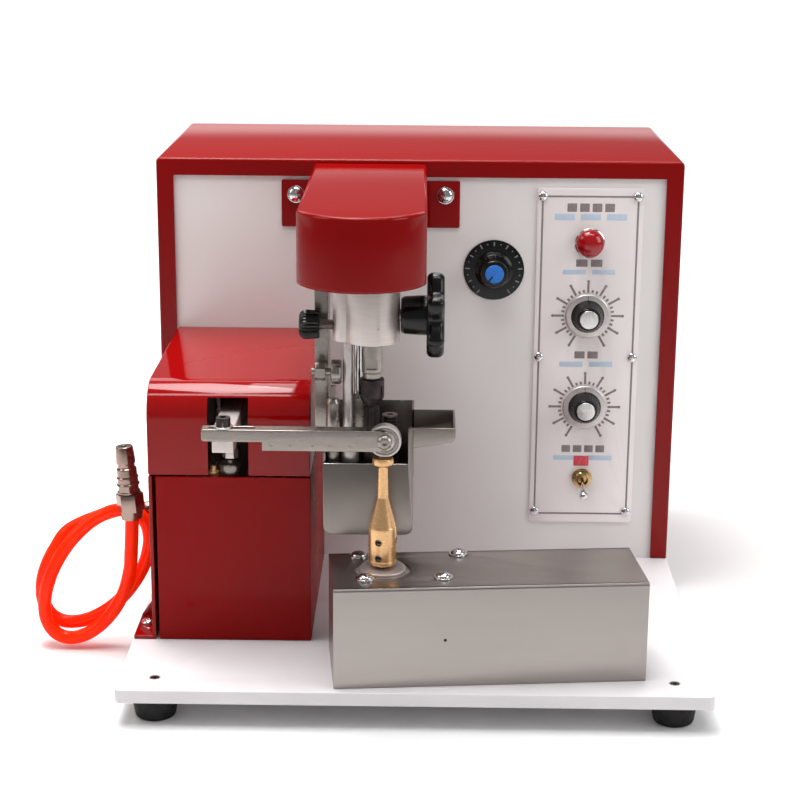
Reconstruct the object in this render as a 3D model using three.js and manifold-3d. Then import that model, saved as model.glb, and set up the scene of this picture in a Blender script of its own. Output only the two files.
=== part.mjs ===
// Bench-top leather edge inking machine, in millimetres, +Z up.
// The origin is on the table, under the middle of the base plate. The operator stands at -Y.
import * as THREE from 'three';
import { mergeVertices } from 'three/addons/utils/BufferGeometryUtils.js';
import Module from 'manifold-3d';

const wasm = await Module();
wasm.setup();

// ---------------------------------------------------------------- driving dimensions
const GAP = 0.3; // clearance between neighbouring pieces
const ROUND = 16; // facets of an ordinary round piece
const PLATE = { width: 400, depth: 481, thickness: 9.5, corner: 4 };
const FOOT = { height: 17, top: 16.2, bottom: 13.8, x: 175.5, y: 218 };
const CABINET = { width: 400, height: 317.5, front: 263, back: 477, wall: 2, lip: 13 };
const HOOD = { left: -186, right: -73.5, front: 87, top: 186, seam: 122, bend: 24, wall: 2.5 };
const HEAD = { x: -37.2, half: 42.4, corner: 52, front: 22, bottom: 265, top: 314.5, wall: 1.5 };
const SPINDLE = { x: -30.7, y: 72 };
const WHEEL = { x: -22.4, y: 46.8 };
const CUP = {
  left: -63.3, right: -2.2, front: 59.5, back: 131.5, floor: 90, top: 166, lip: 140.3, wall: 1.5,
};
const COVER = { x: 47.9, y: 50.4, length: 211, depth: 70, height: 70.5, wall: 1.5, yaw: 5.3 };
const ARM = { left: -143, right: -25, front: 41.5, top: 168.9, step: -102.6, thin: 160.6, deep: 154.6 };
const ROCKER = {
  left: -136.2, right: -121.8, bottom: 152, top: 166.9, pivotY: 160, pivotZ: 160, rodX: -130,
  rodY: 100,
};
const CLAMP_SCREW = { x: -128.7, y: 47.4 };
const BEARING = { x: -21.3, z: 161.3, outer: 11, bore: 4, front: 44, width: 7 };
const CONTROLS = { x: 130.3, lamp: 255, upper: 198.1, lower: 125.3, toggle: 66.7 };
const DIAL = { x: 57.4, z: 233.2, radius: 23.3 };
const HOSE = {
  radius: 5, x: -236, z: 30.4, halfWidth: 38, halfHeight: 45.2, lean: 28, ripple: 0.1, phase: -78,
  forward: 0.03, port: 152, pitch: 11.4, out: -199,
};
const HOSE_END = { x: -204, h: 77.4, lean: 4.4 };

const DECK = FOOT.height + PLATE.thickness;
const FRONT = -PLATE.depth / 2;

/** Height above the table of something that is h above the base plate. */
const up = (h) => DECK + h;

/** Y of something that is d behind the base plate's front edge. */
const back = (d) => FRONT + d;

// ---------------------------------------------------------------- materials
function paint(color, roughness, metalness) {
  return new THREE.MeshStandardMaterial({ color, roughness, metalness });
}

const finish = {
  redPaint: () => paint(0x9c1a1a, 0.25, 0.2),
  plateGrey: () => paint(0xdcdada, 0.45, 0.2),
  panelGrey: () => paint(0xb5aca8, 0.6, 0.1),
  labelPlate: () => paint(0xd9d2d0, 0.5, 0.1),
  steel: () => paint(0x8f8a85, 0.35, 0.9),
  stainless: () => paint(0xa79d96, 0.3, 1.0),
  chrome: () => paint(0xd8d8d8, 0.12, 1.0),
  aluminium: () => paint(0xc4bdb9, 0.35, 0.9),
  blackSteel: () => paint(0x2a2828, 0.45, 0.7),
  brass: () => paint(0xc8965f, 0.3, 1.0),
  nickel: () => paint(0x9a8278, 0.25, 1.0),
  blackPlastic: () => paint(0x101010, 0.3, 0.0),
  rubber: () => paint(0x171717, 0.8, 0.0),
  redLens: () => paint(0xb01414, 0.1, 0.0),
  hose: () => paint(0xff3c19, 0.3, 0.0),
};

// ---------------------------------------------------------------- solid modelling helpers
function signedVolume(geometry) {
  const p = geometry.attributes.position;
  const index = geometry.index;
  const [a, b, c] = [new THREE.Vector3(), new THREE.Vector3(), new THREE.Vector3()];
  let volume = 0;
  for (let i = 0; i < index.count; i += 3) {
    a.fromBufferAttribute(p, index.getX(i));
    b.fromBufferAttribute(p, index.getX(i + 1));
    c.fromBufferAttribute(p, index.getX(i + 2));
    volume += a.dot(b.cross(c)) / 6;
  }
  return volume;
}

/** The geometry with shared vertices merged and its faces turned outwards. */
function welded(geometry) {
  const bare = geometry.clone();
  bare.deleteAttribute('normal');
  bare.deleteAttribute('uv');
  const merged = mergeVertices(bare, 1e-4);
  if (signedVolume(merged) < 0) {
    const index = merged.index;
    for (let i = 0; i < index.count; i += 3) {
      const first = index.getX(i);
      index.setX(i, index.getX(i + 1));
      index.setX(i + 1, first);
    }
  }
  return merged;
}

function toSolid(geometry) {
  const merged = welded(geometry);
  return new wasm.Manifold(new wasm.Mesh({
    numProp: 3,
    vertProperties: new Float32Array(merged.attributes.position.array),
    triVerts: new Uint32Array(merged.index.array),
  }));
}

function toGeometry(solid) {
  const mesh = solid.getMesh();
  const geometry = new THREE.BufferGeometry();
  geometry.setAttribute('position', new THREE.BufferAttribute(new Float32Array(mesh.vertProperties), 3));
  geometry.setIndex(new THREE.BufferAttribute(new Uint32Array(mesh.triVerts), 1));
  return geometry;
}

function join(...pieces) {
  return toGeometry(pieces.map(toSolid).reduce((sum, next) => sum.add(next)));
}

function cut(body, ...tools) {
  return toGeometry(tools.map(toSolid).reduce((left, tool) => left.subtract(tool), toSolid(body)));
}

// ---------------------------------------------------------------- shapes
function box(x0, x1, y0, y1, z0, z1) {
  const geometry = new THREE.BoxGeometry(x1 - x0, y1 - y0, z1 - z0);
  return geometry.translate((x0 + x1) / 2, (y0 + y1) / 2, (z0 + z1) / 2);
}

/** Turns a piece made along +Z so that it lies along the named axis. */
function along(axis, geometry) {
  if (axis === 'x') return geometry.applyMatrix4(new THREE.Matrix4().makeRotationY(Math.PI / 2));
  if (axis === 'y') return geometry.applyMatrix4(new THREE.Matrix4().makeRotationX(-Math.PI / 2));
  return geometry;
}

/** A straight round or hexagonal bar: centre is the point where its axis crosses the other two planes. */
function bar(axis, centre, from, to, radius, facets = ROUND, endRadius = radius) {
  const geometry = new THREE.CylinderGeometry(endRadius, radius, to - from, facets);
  geometry.rotateX(Math.PI / 2);
  geometry.translate(0, 0, (from + to) / 2);
  along(axis, geometry);
  return geometry.translate(...placed(axis, centre));
}

function placed(axis, [a, b]) {
  if (axis === 'x') return [0, a, b];
  if (axis === 'y') return [a, 0, b];
  return [a, b, 0];
}

/** A turned piece: profile is a list of [radius, position along the axis] that closes on the axis. */
function turned(axis, centre, profile, facets = ROUND) {
  const points = profile.map(([radius, t]) => new THREE.Vector2(radius, t));
  const geometry = new THREE.LatheGeometry(points, facets);
  geometry.rotateX(Math.PI / 2);
  along(axis, geometry);
  return geometry.translate(...placed(axis, centre));
}

/** A turned ring: an outer profile with a plain bore through it. */
function ring(axis, centre, from, to, radius, bore, facets = ROUND) {
  const profile = [[bore, from], [radius, from], [radius, to], [bore, to], [bore, from]];
  return turned(axis, centre, profile, facets);
}

function roundedRectangle(x0, y0, x1, y1, lower, upper = lower) {
  const shape = new THREE.Shape();
  shape.moveTo(x0 + lower, y0);
  shape.lineTo(x1 - lower, y0);
  if (lower) shape.absarc(x1 - lower, y0 + lower, lower, -Math.PI / 2, 0, false);
  shape.lineTo(x1, y1 - upper);
  if (upper) shape.absarc(x1 - upper, y1 - upper, upper, 0, Math.PI / 2, false);
  shape.lineTo(x0 + upper, y1);
  if (upper) shape.absarc(x0 + upper, y1 - upper, upper, Math.PI / 2, Math.PI, false);
  shape.lineTo(x0, y0 + lower);
  if (lower) shape.absarc(x0 + lower, y0 + lower, lower, Math.PI, 1.5 * Math.PI, false);
  return shape;
}

const extruded = (shape, depth, curveSegments = 6) =>
  new THREE.ExtrudeGeometry(shape, { depth, bevelEnabled: false, curveSegments });

/** An outline in X and Z, from y0 to y1. */
function frontOutline(shape, y0, y1, curveSegments) {
  const geometry = extruded(shape, y1 - y0, curveSegments);
  return geometry.rotateX(Math.PI / 2).translate(0, y1, 0);
}

/** An outline in Y and Z, from x0 to x1. */
function sideOutline(shape, x0, x1, curveSegments) {
  const geometry = extruded(shape, x1 - x0, curveSegments);
  const turn = new THREE.Matrix4().set(0, 0, 1, x0, 1, 0, 0, 0, 0, 1, 0, 0, 0, 0, 0, 1);
  return geometry.applyMatrix4(turn);
}

/** An outline in X and Y, from z0 to z1. */
const flatOutline = (shape, z0, z1, curveSegments) =>
  extruded(shape, z1 - z0, curveSegments).translate(0, 0, z0);

// ---------------------------------------------------------------- the scene graph
const machine = new THREE.Group();

function piece(name, geometry, material, parent = machine) {
  const mesh = new THREE.Mesh(welded(geometry), material);
  mesh.geometry.computeVertexNormals();
  mesh.name = name;
  parent.add(mesh);
  return mesh;
}

// ---------------------------------------------------------------- base plate and feet
const corners = {
  front_left: [-1, -1],
  front_right: [1, -1],
  rear_left: [-1, 1],
  rear_right: [1, 1],
};

function basePlate() {
  const outline = roundedRectangle(-PLATE.width / 2, FRONT, PLATE.width / 2, -FRONT, PLATE.corner);
  const screwHoles = Object.values(corners).map(([sx, sy]) =>
    bar('z', [sx * FOOT.x, sy * FOOT.y], DECK - 5, DECK + 1, 3.4, 14));
  return cut(flatOutline(outline, FOOT.height, DECK), ...screwHoles);
}

function rubberFoot([sx, sy]) {
  const profile = [[0, 0], [FOOT.bottom - 1.5, 0], [FOOT.bottom, 1.5], [FOOT.top, FOOT.height], [0, FOOT.height]];
  return turned('z', [sx * FOOT.x, sy * FOOT.y], profile);
}

piece('base_plate', basePlate(), finish.plateGrey());
for (const [name, corner] of Object.entries(corners)) {
  piece(`foot_${name}`, rubberFoot(corner), finish.rubber());
}

// ---------------------------------------------------------------- cabinet
const cabinetHalf = CABINET.width / 2;
const cabinetTop = up(CABINET.height);
const panelFace = back(CABINET.front) + CABINET.wall + GAP;
const panelBack = panelFace + CABINET.wall;
const beltSlot = { left: -77.2, right: 2.8, bottom: 266.5, top: 308 };

function cabinetShell() {
  const { wall, lip } = CABINET;
  const y0 = back(CABINET.front);
  const y1 = back(CABINET.back);
  const outline = roundedRectangle(-cabinetHalf, DECK, cabinetHalf, cabinetTop, 0, 3);
  const inside = box(-cabinetHalf + wall, cabinetHalf - wall, y0 + wall, y1 + 1, DECK - 1, cabinetTop - wall);
  const window = box(
    -cabinetHalf + lip, cabinetHalf - lip, y0 - 1, y0 + wall + 1, DECK - 1, cabinetTop - lip,
  );
  return cut(frontOutline(outline, y0, y1), inside, window);
}

const innerHalf = cabinetHalf - CABINET.wall - GAP;

function panelBore(x, h, radius) {
  return bar('y', [x, up(h)], panelFace - 5, panelBack + 5, radius, 14);
}

function frontPanel() {
  const sheet = box(-innerHalf, innerHalf, panelFace, panelBack, DECK, cabinetTop - CABINET.wall - GAP);
  return cut(
    sheet,
    panelBore(CONTROLS.x, CONTROLS.lamp, 8.3),
    panelBore(CONTROLS.x, CONTROLS.upper, 4.3),
    panelBore(CONTROLS.x, CONTROLS.lower, 4.3),
    panelBore(CONTROLS.x, CONTROLS.toggle, 6.6),
    panelBore(DIAL.x, DIAL.z, 4.3),
    panelBore(-93.9, 290.5, 2.8),
    panelBore(19.5, 290.5, 2.8),
    box(beltSlot.left, beltSlot.right, panelFace - 1, panelBack + 1, up(beltSlot.bottom), up(beltSlot.top)),
  );
}

const inlet = { x: 140, z: 60, half: 16, tall: 12 };
const rearScrews = [];
for (const x of [-180, 0, 180]) {
  for (const h of [20, 298]) rearScrews.push([x, h]);
}

function backPanel() {
  const y1 = back(CABINET.back) - 3;
  const sheet = box(-innerHalf, innerHalf, y1 - 2, y1, DECK, cabinetTop - CABINET.wall - GAP);
  const vents = [];
  for (let i = 0; i < 6; i += 1) {
    const z = up(150) + i * 20;
    vents.push(box(-110, -30, y1 - 3, y1 + 1, z, z + 5), box(30, 110, y1 - 3, y1 + 1, z, z + 5));
  }
  const socket = box(
    inlet.x - inlet.half, inlet.x + inlet.half, y1 - 3, y1 + 1, up(inlet.z - inlet.tall), up(inlet.z + inlet.tall));
  const bores = rearScrews.map(([x, h]) => bar('y', [x, up(h)], y1 - 3, y1 + 1, 2.8, 16));
  return cut(sheet, socket, ...vents, ...bores);
}

function powerInlet() {
  const y1 = back(CABINET.back) - 2.7;
  const { x, z, half, tall } = inlet;
  const flange = box(x - half - 4, x + half + 4, y1, y1 + 2.4, up(z - tall - 3), up(z + tall + 3));
  const body = box(
    x - half + GAP, x + half - GAP, y1 - 26, y1 + 1, up(z - tall) + GAP, up(z + tall) - GAP);
  const mouth = box(x - 12, x + 12, y1 - 18, y1 + 3, up(z - 8), up(z + 8));
  const housing = cut(join(flange, body), mouth);
  const pins = [[-7, -2.5], [7, -2.5], [0, 3.5]].map(([dx, dz]) =>
    box(x + dx - 1, x + dx + 1, y1 - 20, y1 - 3, up(z + dz) - 2.2, up(z + dz) + 2.2));
  return join(housing, ...pins);
}

piece('cabinet_shell', cabinetShell(), finish.redPaint());
piece('front_panel', frontPanel(), finish.panelGrey());
piece('back_panel', backPanel(), finish.panelGrey());
piece('power_inlet', powerInlet(), finish.blackPlastic());

// ---------------------------------------------------------------- controls
const controlPlate = { left: 89.5, right: 170.3, bottom: 30, top: 297, thickness: 1.5 };
const controlFace = panelFace - controlPlate.thickness - 0.1;
const dialFace = panelFace - 1.1;

function controlPlateSheet() {
  const { left, right, bottom, top, thickness } = controlPlate;
  const sheet = frontOutline(
    roundedRectangle(left, up(bottom), right, up(top), 2), controlFace, controlFace + thickness);
  const holes = [
    panelBore(CONTROLS.x, CONTROLS.lamp, 8.3),
    panelBore(CONTROLS.x, CONTROLS.upper, 4.3),
    panelBore(CONTROLS.x, CONTROLS.lower, 4.3),
    panelBore(CONTROLS.x, CONTROLS.toggle, 6.6),
  ];
  return cut(sheet, ...holes);
}

function lampBezel() {
  const neck = ring('y', [CONTROLS.x, up(CONTROLS.lamp)], controlFace - 1.8, panelBack + 14, 8, 5);
  const rim = ring('y', [CONTROLS.x, up(CONTROLS.lamp)], controlFace - 2.1, controlFace - 0.1, 12, 5);
  return join(neck, rim);
}

function lampLens() {
  const face = controlFace - 2.4;
  const profile = [[0, -8.2], [4.6, -7.4], [8.2, -5.2], [10.2, -2.4], [10.8, 0], [0, 0]];
  return turned('y', [CONTROLS.x, up(CONTROLS.lamp)], profile).translate(0, face, 0);
}

/** A potentiometer's body behind the panel and its bushing through it. */
function potentiometer(x, h, face) {
  const centre = [x, up(h)];
  const body = bar('y', centre, panelBack + GAP, panelBack + 13, 8.5, 14);
  return join(body, bar('y', centre, face - 0.6, panelBack + 1, 4, 14));
}

/** The speed controller: three potentiometers soldered to one circuit board. */
function controlBoard() {
  const spots = [
    [CONTROLS.x, CONTROLS.upper, controlFace],
    [CONTROLS.x, CONTROLS.lower, controlFace],
    [DIAL.x, DIAL.z, dialFace],
  ];
  const board = box(44, 150, panelBack + 12, panelBack + 13.6, up(106), up(244));
  const cooler = box(50, 110, panelBack + 13, panelBack + 40, up(120), up(170));
  const bores = spots.map(([x, h, face]) => bar('y', [x, up(h)], face - 2, panelBack + 12.5, 3.2, 14));
  return cut(join(board, cooler, ...spots.map((spot) => potentiometer(...spot))), ...bores);
}

/** A pointer knob with a flat skirt and its shaft. */
function pointerKnob(x, h, face, skirt, [base, tip], height) {
  const centre = [x, up(h)];
  const profile = [
    [0, -height], [tip - 0.8, -height], [tip, -height + 1], [base, -3.6], [skirt - 0.6, -3.2],
    [skirt, -2.4], [skirt, -0.9], [4.6, -0.9], [4.6, -1.4], [3, -1.4], [3, 14], [0, 14],
  ];
  return turned('y', centre, profile, 18).translate(0, face, 0);
}

piece('control_plate', controlPlateSheet(), finish.labelPlate());
piece('lamp_bezel', lampBezel(), finish.chrome());
piece('lamp_lens', lampLens(), finish.redLens());
piece('control_board', controlBoard(), finish.blackPlastic());
piece(
  'speed_knob_upper',
  pointerKnob(CONTROLS.x, CONTROLS.upper, controlFace, 17.4, [12.4, 9.2], 15.5),
  finish.blackPlastic(),
);
piece(
  'speed_knob_lower',
  pointerKnob(CONTROLS.x, CONTROLS.lower, controlFace, 17.4, [12.4, 9.2], 15.5),
  finish.blackPlastic(),
);
piece(
  'dial_plate',
  ring('y', [DIAL.x, up(DIAL.z)], dialFace, panelFace - 0.1, DIAL.radius, 4.3, 16),
  finish.blackPlastic(),
);
piece('dial_knob', pointerKnob(DIAL.x, DIAL.z, dialFace, 15, [12.3, 10.6], 17), finish.blackPlastic());

// The toggle: a threaded bushing with a hexagonal nut, and a lever that pivots in its mouth.
const toggle = { mouth: controlFace - 6.5, length: 20, rest: 22 };

function switchBody() {
  const centre = [CONTROLS.x, up(CONTROLS.toggle)];
  const block = box(
    CONTROLS.x - 9, CONTROLS.x + 9, panelBack + 0.2, panelBack + 20, up(CONTROLS.toggle - 7.5), up(CONTROLS.toggle + 7.5));
  const bushing = bar('y', centre, toggle.mouth, panelBack + 1, 6.2, 16);
  const nut = bar('y', centre, controlFace - 3.4, controlFace - 0.1, 8.3, 6);
  const mouth = bar('y', centre, toggle.mouth - 1, toggle.mouth + 9, 4.9, 24, 2.6);
  return cut(join(block, bushing, nut), mouth);
}

function switchLever() {
  const stem = turned('z', [0, 0], [
    [0, -1.2], [1.2, -1.2], [1.5, 4], [2.2, 12], [2.4, 16.5], [3.3, 18], [3.5, 20], [2.9, 22],
    [1.5, 23], [0, 23.2],
  ], 14);
  stem.rotateX(THREE.MathUtils.degToRad(90 + toggle.rest));
  return stem.translate(CONTROLS.x, toggle.mouth + 3, up(CONTROLS.toggle));
}

piece('switch_body', switchBody(), finish.chrome());
piece('switch_lever', switchLever(), finish.chrome());

// ---------------------------------------------------------------- head: cover, frame and spindle
const flange = { half: 67.8, bottom: 265.6, top: 301.5 };

/** The head's plan outline, grown by d: straight sides and a round nose. */
function headOutline(d, rear) {
  const half = HEAD.half + d;
  const sagitta = HEAD.corner - HEAD.front;
  const radius = (HEAD.half ** 2 + sagitta ** 2) / (2 * sagitta) + d;
  const centre = back(HEAD.front) - d + radius;
  const swing = Math.asin(half / radius);
  const shape = new THREE.Shape();
  shape.moveTo(HEAD.x + half, rear);
  shape.lineTo(HEAD.x - half, rear);
  shape.absarc(HEAD.x, centre, radius, -Math.PI / 2 - swing, -Math.PI / 2 + swing, false);
  return shape;
}

function headCover() {
  const rear = panelFace - 0.3;
  const outer = flatOutline(headOutline(0, rear), up(HEAD.bottom), up(HEAD.top), 14);
  const wing = box(
    HEAD.x - flange.half, HEAD.x + flange.half, rear - 1.5, rear, up(flange.bottom), up(flange.top),
  );
  const inner = flatOutline(
    headOutline(-HEAD.wall, rear + 1), up(HEAD.bottom) - 1, up(HEAD.top - HEAD.wall), 14,
  );
  const lipY = back(CABINET.front) - GAP;
  const lipZ = up(CABINET.height - CABINET.lip) - GAP;
  const lip = box(-cabinetHalf, cabinetHalf, lipY, rear + 1, lipZ, up(HEAD.top) + 1);
  return cut(join(outer, wing), inner, lip, panelBore(-93.9, 290.5, 2.8), panelBore(19.5, 290.5, 2.8));
}

const spindleCentre = [SPINDLE.x, back(SPINDLE.y)];
const postCentre = [-46.8, back(SPINDLE.y)];
const slimCentre = [-40.4, back(83)];
const motorCentre = [SPINDLE.x, back(345)];
const beam = { bottom: 267, top: 277, left: -75.5, right: 1.2 };

function headFrame() {
  const arm = box(beam.left, beam.right, back(53), back(390), up(beam.bottom), up(beam.top));
  const column = box(-66, -8, back(272), back(284), DECK, up(beam.bottom + 1));
  const foot = box(-66, -8, back(272), back(302), DECK, up(8));
  return cut(
    join(arm, column, foot),
    bar('z', spindleCentre, up(beam.bottom - 1), up(beam.top + 1), 8.5),
    bar('z', motorCentre, up(beam.bottom - 1), up(beam.top + 1), 8.5),
  );
}

function spindleHousing() {
  const [z0, z1] = [up(223.3), up(beam.bottom) - GAP];
  const barrel = bar('z', spindleCentre, z0, z1, 18.7, 16);
  const lobe = box(-50.5, -38, back(SPINDLE.y) - 7.5, back(SPINDLE.y) + 7.5, z0, z1);
  const lobeEnd = bar('z', [-49.5, back(SPINDLE.y)], z0, z1, 7.5);
  return cut(
    join(barrel, lobe, lobeEnd),
    bar('z', spindleCentre, z0 - 1, z1 + 1, 8.5),
    bar('z', postCentre, z0 - 1, z1 + 1, 3.95),
    bar('z', slimCentre, z0 - 1, up(250), 2.9),
    bar('x', [back(SPINDLE.y), up(234)], -60, -50, 3.9),
    bar('x', [back(SPINDLE.y), up(241)], -20.9, -10, 4.4),
  );
}

function upperSpindle() {
  const shaft = turned('z', spindleCentre, [
    [0, up(197.6)], [6.1, up(197.6)], [6.1, up(201.4)], [7.1, up(202.2)], [7.2, up(278.5)],
    [6, up(278.5)], [6, up(300)], [0, up(300)],
  ]);
  const flats = [-1, 1].map((side) => {
    const y = spindleCentre[1] + side * 7.2;
    return box(SPINDLE.x - 4, SPINDLE.x + 4, y - 1.9, y + 1.9, up(204.5), up(212));
  });
  return cut(shaft, ...flats, bar('z', spindleCentre, up(190), up(214), 4.3));
}

function colletNut() {
  return turned('z', spindleCentre, [
    [4.3, up(179.5)], [5.8, up(179.5)], [8.3, up(184.6)], [8.5, up(186)], [8.5, up(197.3)], [4.3, up(197.3)],
    [4.3, up(179.5)],
  ]);
}

function flutedOutline(count, outer, root) {
  const shape = new THREE.Shape();
  for (let i = 0; i < count * 2; i += 1) {
    const angle = (i * Math.PI) / count;
    const radius = i % 2 ? root : outer;
    const point = [SPINDLE.x + radius * Math.cos(angle), spindleCentre[1] + radius * Math.sin(angle)];
    if (i === 0) shape.moveTo(...point);
    else shape.lineTo(...point);
  }
  return shape;
}

function inkRoller() {
  const shank = bar('z', spindleCentre, up(170), up(212), 4);
  return join(shank, flatOutline(flutedOutline(16, 5.4, 4.7), up(104), up(177.8)));
}

const upperPulley = { radius: 14, bottom: 281, top: 295 };

function flangedPulley(centre, bottom, top, radius, bore) {
  return turned('z', centre, [
    [bore, bottom], [radius + 3, bottom], [radius + 3, bottom + 1.5], [radius, bottom + 1.8],
    [radius, top - 1.8], [radius + 3, top - 1.5], [radius + 3, top], [bore, top], [bore, bottom],
  ]);
}

/** A flat belt round two equal pulleys. */
function belt([xa, ya], [xb, yb], radius, z0, z1) {
  const turn = Math.atan2(yb - ya, xb - xa);
  const span = Math.hypot(xb - xa, yb - ya);
  const loop = (r) => {
    const shape = new THREE.Shape();
    shape.absarc(0, 0, r, Math.PI / 2, 1.5 * Math.PI, false);
    shape.absarc(span, 0, r, -Math.PI / 2, Math.PI / 2, false);
    return shape;
  };
  const band = cut(
    extruded(loop(radius + 1.8), z1 - z0, 8),
    extruded(loop(radius + GAP), z1 - z0 + 2, 8).translate(0, 0, -1),
  );
  return band.rotateZ(turn).translate(xa, ya, z0);
}

function upperMotor() {
  const body = bar('z', motorCentre, up(176), up(beam.bottom) - GAP, 34);
  return cut(body, bar('z', motorCentre, up(240), up(beam.bottom) + 1, 5.4));
}

function motorPulley(centre, shaftFrom, shaftTo, bottom, top, radius) {
  const shaft = bar('z', centre, shaftFrom, shaftTo, 5, 14);
  return join(shaft, turned('z', centre, [
    [0, bottom], [radius + 3, bottom], [radius + 3, bottom + 1.5], [radius, bottom + 1.8],
    [radius, top - 1.8],
    [radius + 3, top - 1.5], [radius + 3, top], [0, top],
  ]));
}

/** A knurled clamping knob and its stud, lying along X. */
function clampKnob() {
  const centre = [back(SPINDLE.y), up(234)];
  const grip = turned('x', centre, [
    [0, -79.5], [7.6, -79.5], [9.9, -76.5], [9.6, -66.5], [8.2, -65.5], [3.5, -65.5], [3.5, -51.1],
    [0, -51.1],
  ]);
  return grip;
}

/** A lobed hand knob and its stud, lying along X. */
function starKnob() {
  const lobes = 6;
  const shape = new THREE.Shape();
  const steps = 36;
  for (let i = 0; i < steps; i += 1) {
    const angle = (i * 2 * Math.PI) / steps;
    const radius = 24.6 + 4.6 * Math.cos(lobes * (angle - Math.PI / 2));
    const point = [back(SPINDLE.y) + radius * Math.cos(angle), up(241) + radius * Math.sin(angle)];
    if (i === 0) shape.moveTo(...point);
    else shape.lineTo(...point);
  }
  const centre = [back(SPINDLE.y), up(241)];
  const hub = turned('x', centre, [
    [0, -20.5], [4.1, -20.5], [4.1, -11.5], [11.5, -11.5], [12.6, -9], [13.4, 8], [0, 8],
  ]);
  return join(sideOutline(shape, 5.6, 17.6), hub);
}

piece('head_cover', headCover(), finish.redPaint());
piece('head_frame', headFrame(), finish.aluminium());
piece('spindle_housing', spindleHousing(), finish.aluminium());
piece('upper_spindle', upperSpindle(), finish.steel());
piece('collet_nut', colletNut(), finish.blackSteel());
piece('ink_roller', inkRoller(), finish.blackSteel());
piece('spindle_pulley', flangedPulley(
  spindleCentre, up(upperPulley.bottom), up(upperPulley.top), upperPulley.radius, 6.2), finish.aluminium());
piece('upper_belt', belt(
  spindleCentre, motorCentre, upperPulley.radius, up(upperPulley.bottom + 2), up(upperPulley.top - 2)), finish.rubber());
piece('upper_motor', upperMotor(), finish.steel());
piece('upper_motor_pulley', motorPulley(
  motorCentre, up(242), up(299), up(upperPulley.bottom), up(upperPulley.top), upperPulley.radius), finish.aluminium());
piece('clamp_knob', clampKnob(), finish.blackPlastic());
piece('star_knob', starKnob(), finish.blackPlastic());

// ---------------------------------------------------------------- ink cup and what carries it
const adjusterCentre = [-56.8, back(70)];
const idlerCentre = [-18.6, back(80)];

function hangerBar() {
  return box(-69.8, -60.6, back(83), back(113), up(156), up(beam.bottom) - GAP);
}

function crossBolt() {
  const centre = [back(SPINDLE.y), up(201.5)];
  const nut = bar('x', centre, -69, -61.8, 6.2, 6);
  const shank = bar('x', centre, -70.5, -56, 2.6, 16);
  const collar = turned('x', centre, [[0, -58], [7.4, -58], [8.4, -57], [8.4, -52], [7.4, -51], [0, -51]]);
  return join(nut, shank, collar);
}

function guidePost() {
  const post = bar('z', postCentre, up(138.8), up(262), 3.6);
  return join(post, bar('z', [-45.4, back(SPINDLE.y)], up(138.8), up(147.6), 6.1));
}

function cupHanger() {
  const shelf = box(-61.5, -37, back(65), back(83), up(148), up(150.3));
  const upright = box(-44, -35.5, back(80.5), back(83), up(148), up(184));
  const guide = bar('z', slimCentre, up(183), up(249), 2.6, 14);
  return cut(
    join(shelf, upright, guide),
    bar('z', postCentre, up(140), up(160), 3.95),
    bar('z', adjusterCentre, up(140), up(160), 2.2, 16),
  );
}

function adjustingRod() {
  return turned('z', adjusterCentre, [
    [0, up(138.6)], [4.4, up(138.6)], [4.4, up(147.7)], [1.8, up(147.7)], [1.8, up(164)], [4.8, up(164)],
    [4.8, up(181)], [3.4, up(184)], [1.8, up(184.6)], [1.8, up(192.6)], [0, up(192.6)],
  ], 14);
}

function cupOutline(d, top) {
  const r = 5 - d;
  return roundedRectangle(CUP.left + d, up(CUP.floor) + d, CUP.right - d, up(top), r, 0);
}

function inkCup() {
  const { wall, front, lip } = CUP;
  const outer = frontOutline(cupOutline(0, CUP.top), back(front), back(CUP.back));
  const inner = frontOutline(cupOutline(wall, CUP.top + 2), back(front) + wall, back(CUP.back) - wall);
  const frontCut = box(
    CUP.left - 1, CUP.right - 3.2, back(front) - 1, back(front) + wall + 0.1, up(lip),
    up(CUP.top + 1),
  );
  const leftCut = box(
    CUP.left - 1, CUP.left + wall + 0.1, back(front) - 1, back(CUP.back) - wall, up(149),
    up(CUP.top + 1),
  );
  const body = cut(outer, inner, frontCut, leftCut);
  return join(body, dripTray(), bar('z', idlerCentre, up(CUP.floor) + 1, up(168), 2, 16));
}

function idlerRoller() {
  const profile = [[2.3, up(120)], [5.2, up(120)]];
  for (let z = up(124); z < up(168); z += 10) {
    profile.push([5.2, z], [4.5, z + 0.6], [4.5, z + 3], [5.2, z + 3.6]);
  }
  profile.push([5.2, up(170)], [2.3, up(170)], [2.3, up(120)]);
  return turned('z', idlerCentre, profile, 14);
}

function dripTray() {
  const [x0, x1] = [CUP.right - CUP.wall, 26];
  const [y0, y1] = [back(60), back(107)];
  const outline = (d, rise) => {
    const shape = new THREE.Shape();
    shape.moveTo(x0 + d, up(151.5) + d);
    shape.lineTo(x1 - 2, up(156) + d);
    shape.lineTo(x1 - d, up(158.5) + d);
    shape.lineTo(x1 - d, up(CUP.top) + rise);
    shape.lineTo(x0 + d, up(CUP.top) + rise);
    return shape;
  };
  return cut(frontOutline(outline(0, 0), y0, y1), frontOutline(outline(1.5, 2), y0 + 1.5, y1 - 1.5));
}

piece('hanger_bar', hangerBar(), finish.steel());
piece('cross_bolt', crossBolt(), finish.steel());
piece('guide_post', guidePost(), finish.chrome());
piece('cup_hanger', cupHanger(), finish.steel());
piece('adjusting_rod', adjustingRod(), finish.steel());
piece('ink_cup', inkCup(), finish.stainless());
piece('idler_roller', idlerRoller(), finish.blackSteel());

// ---------------------------------------------------------------- press mechanism in the red box
const seamTop = HOOD.seam + 0.7;
const seamBottom = HOOD.seam - 0.7;
const boxRear = panelFace - 0.4;
const port = { y: back(HOSE.port), z: up(HOSE.z + HOSE.halfHeight) };

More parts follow.
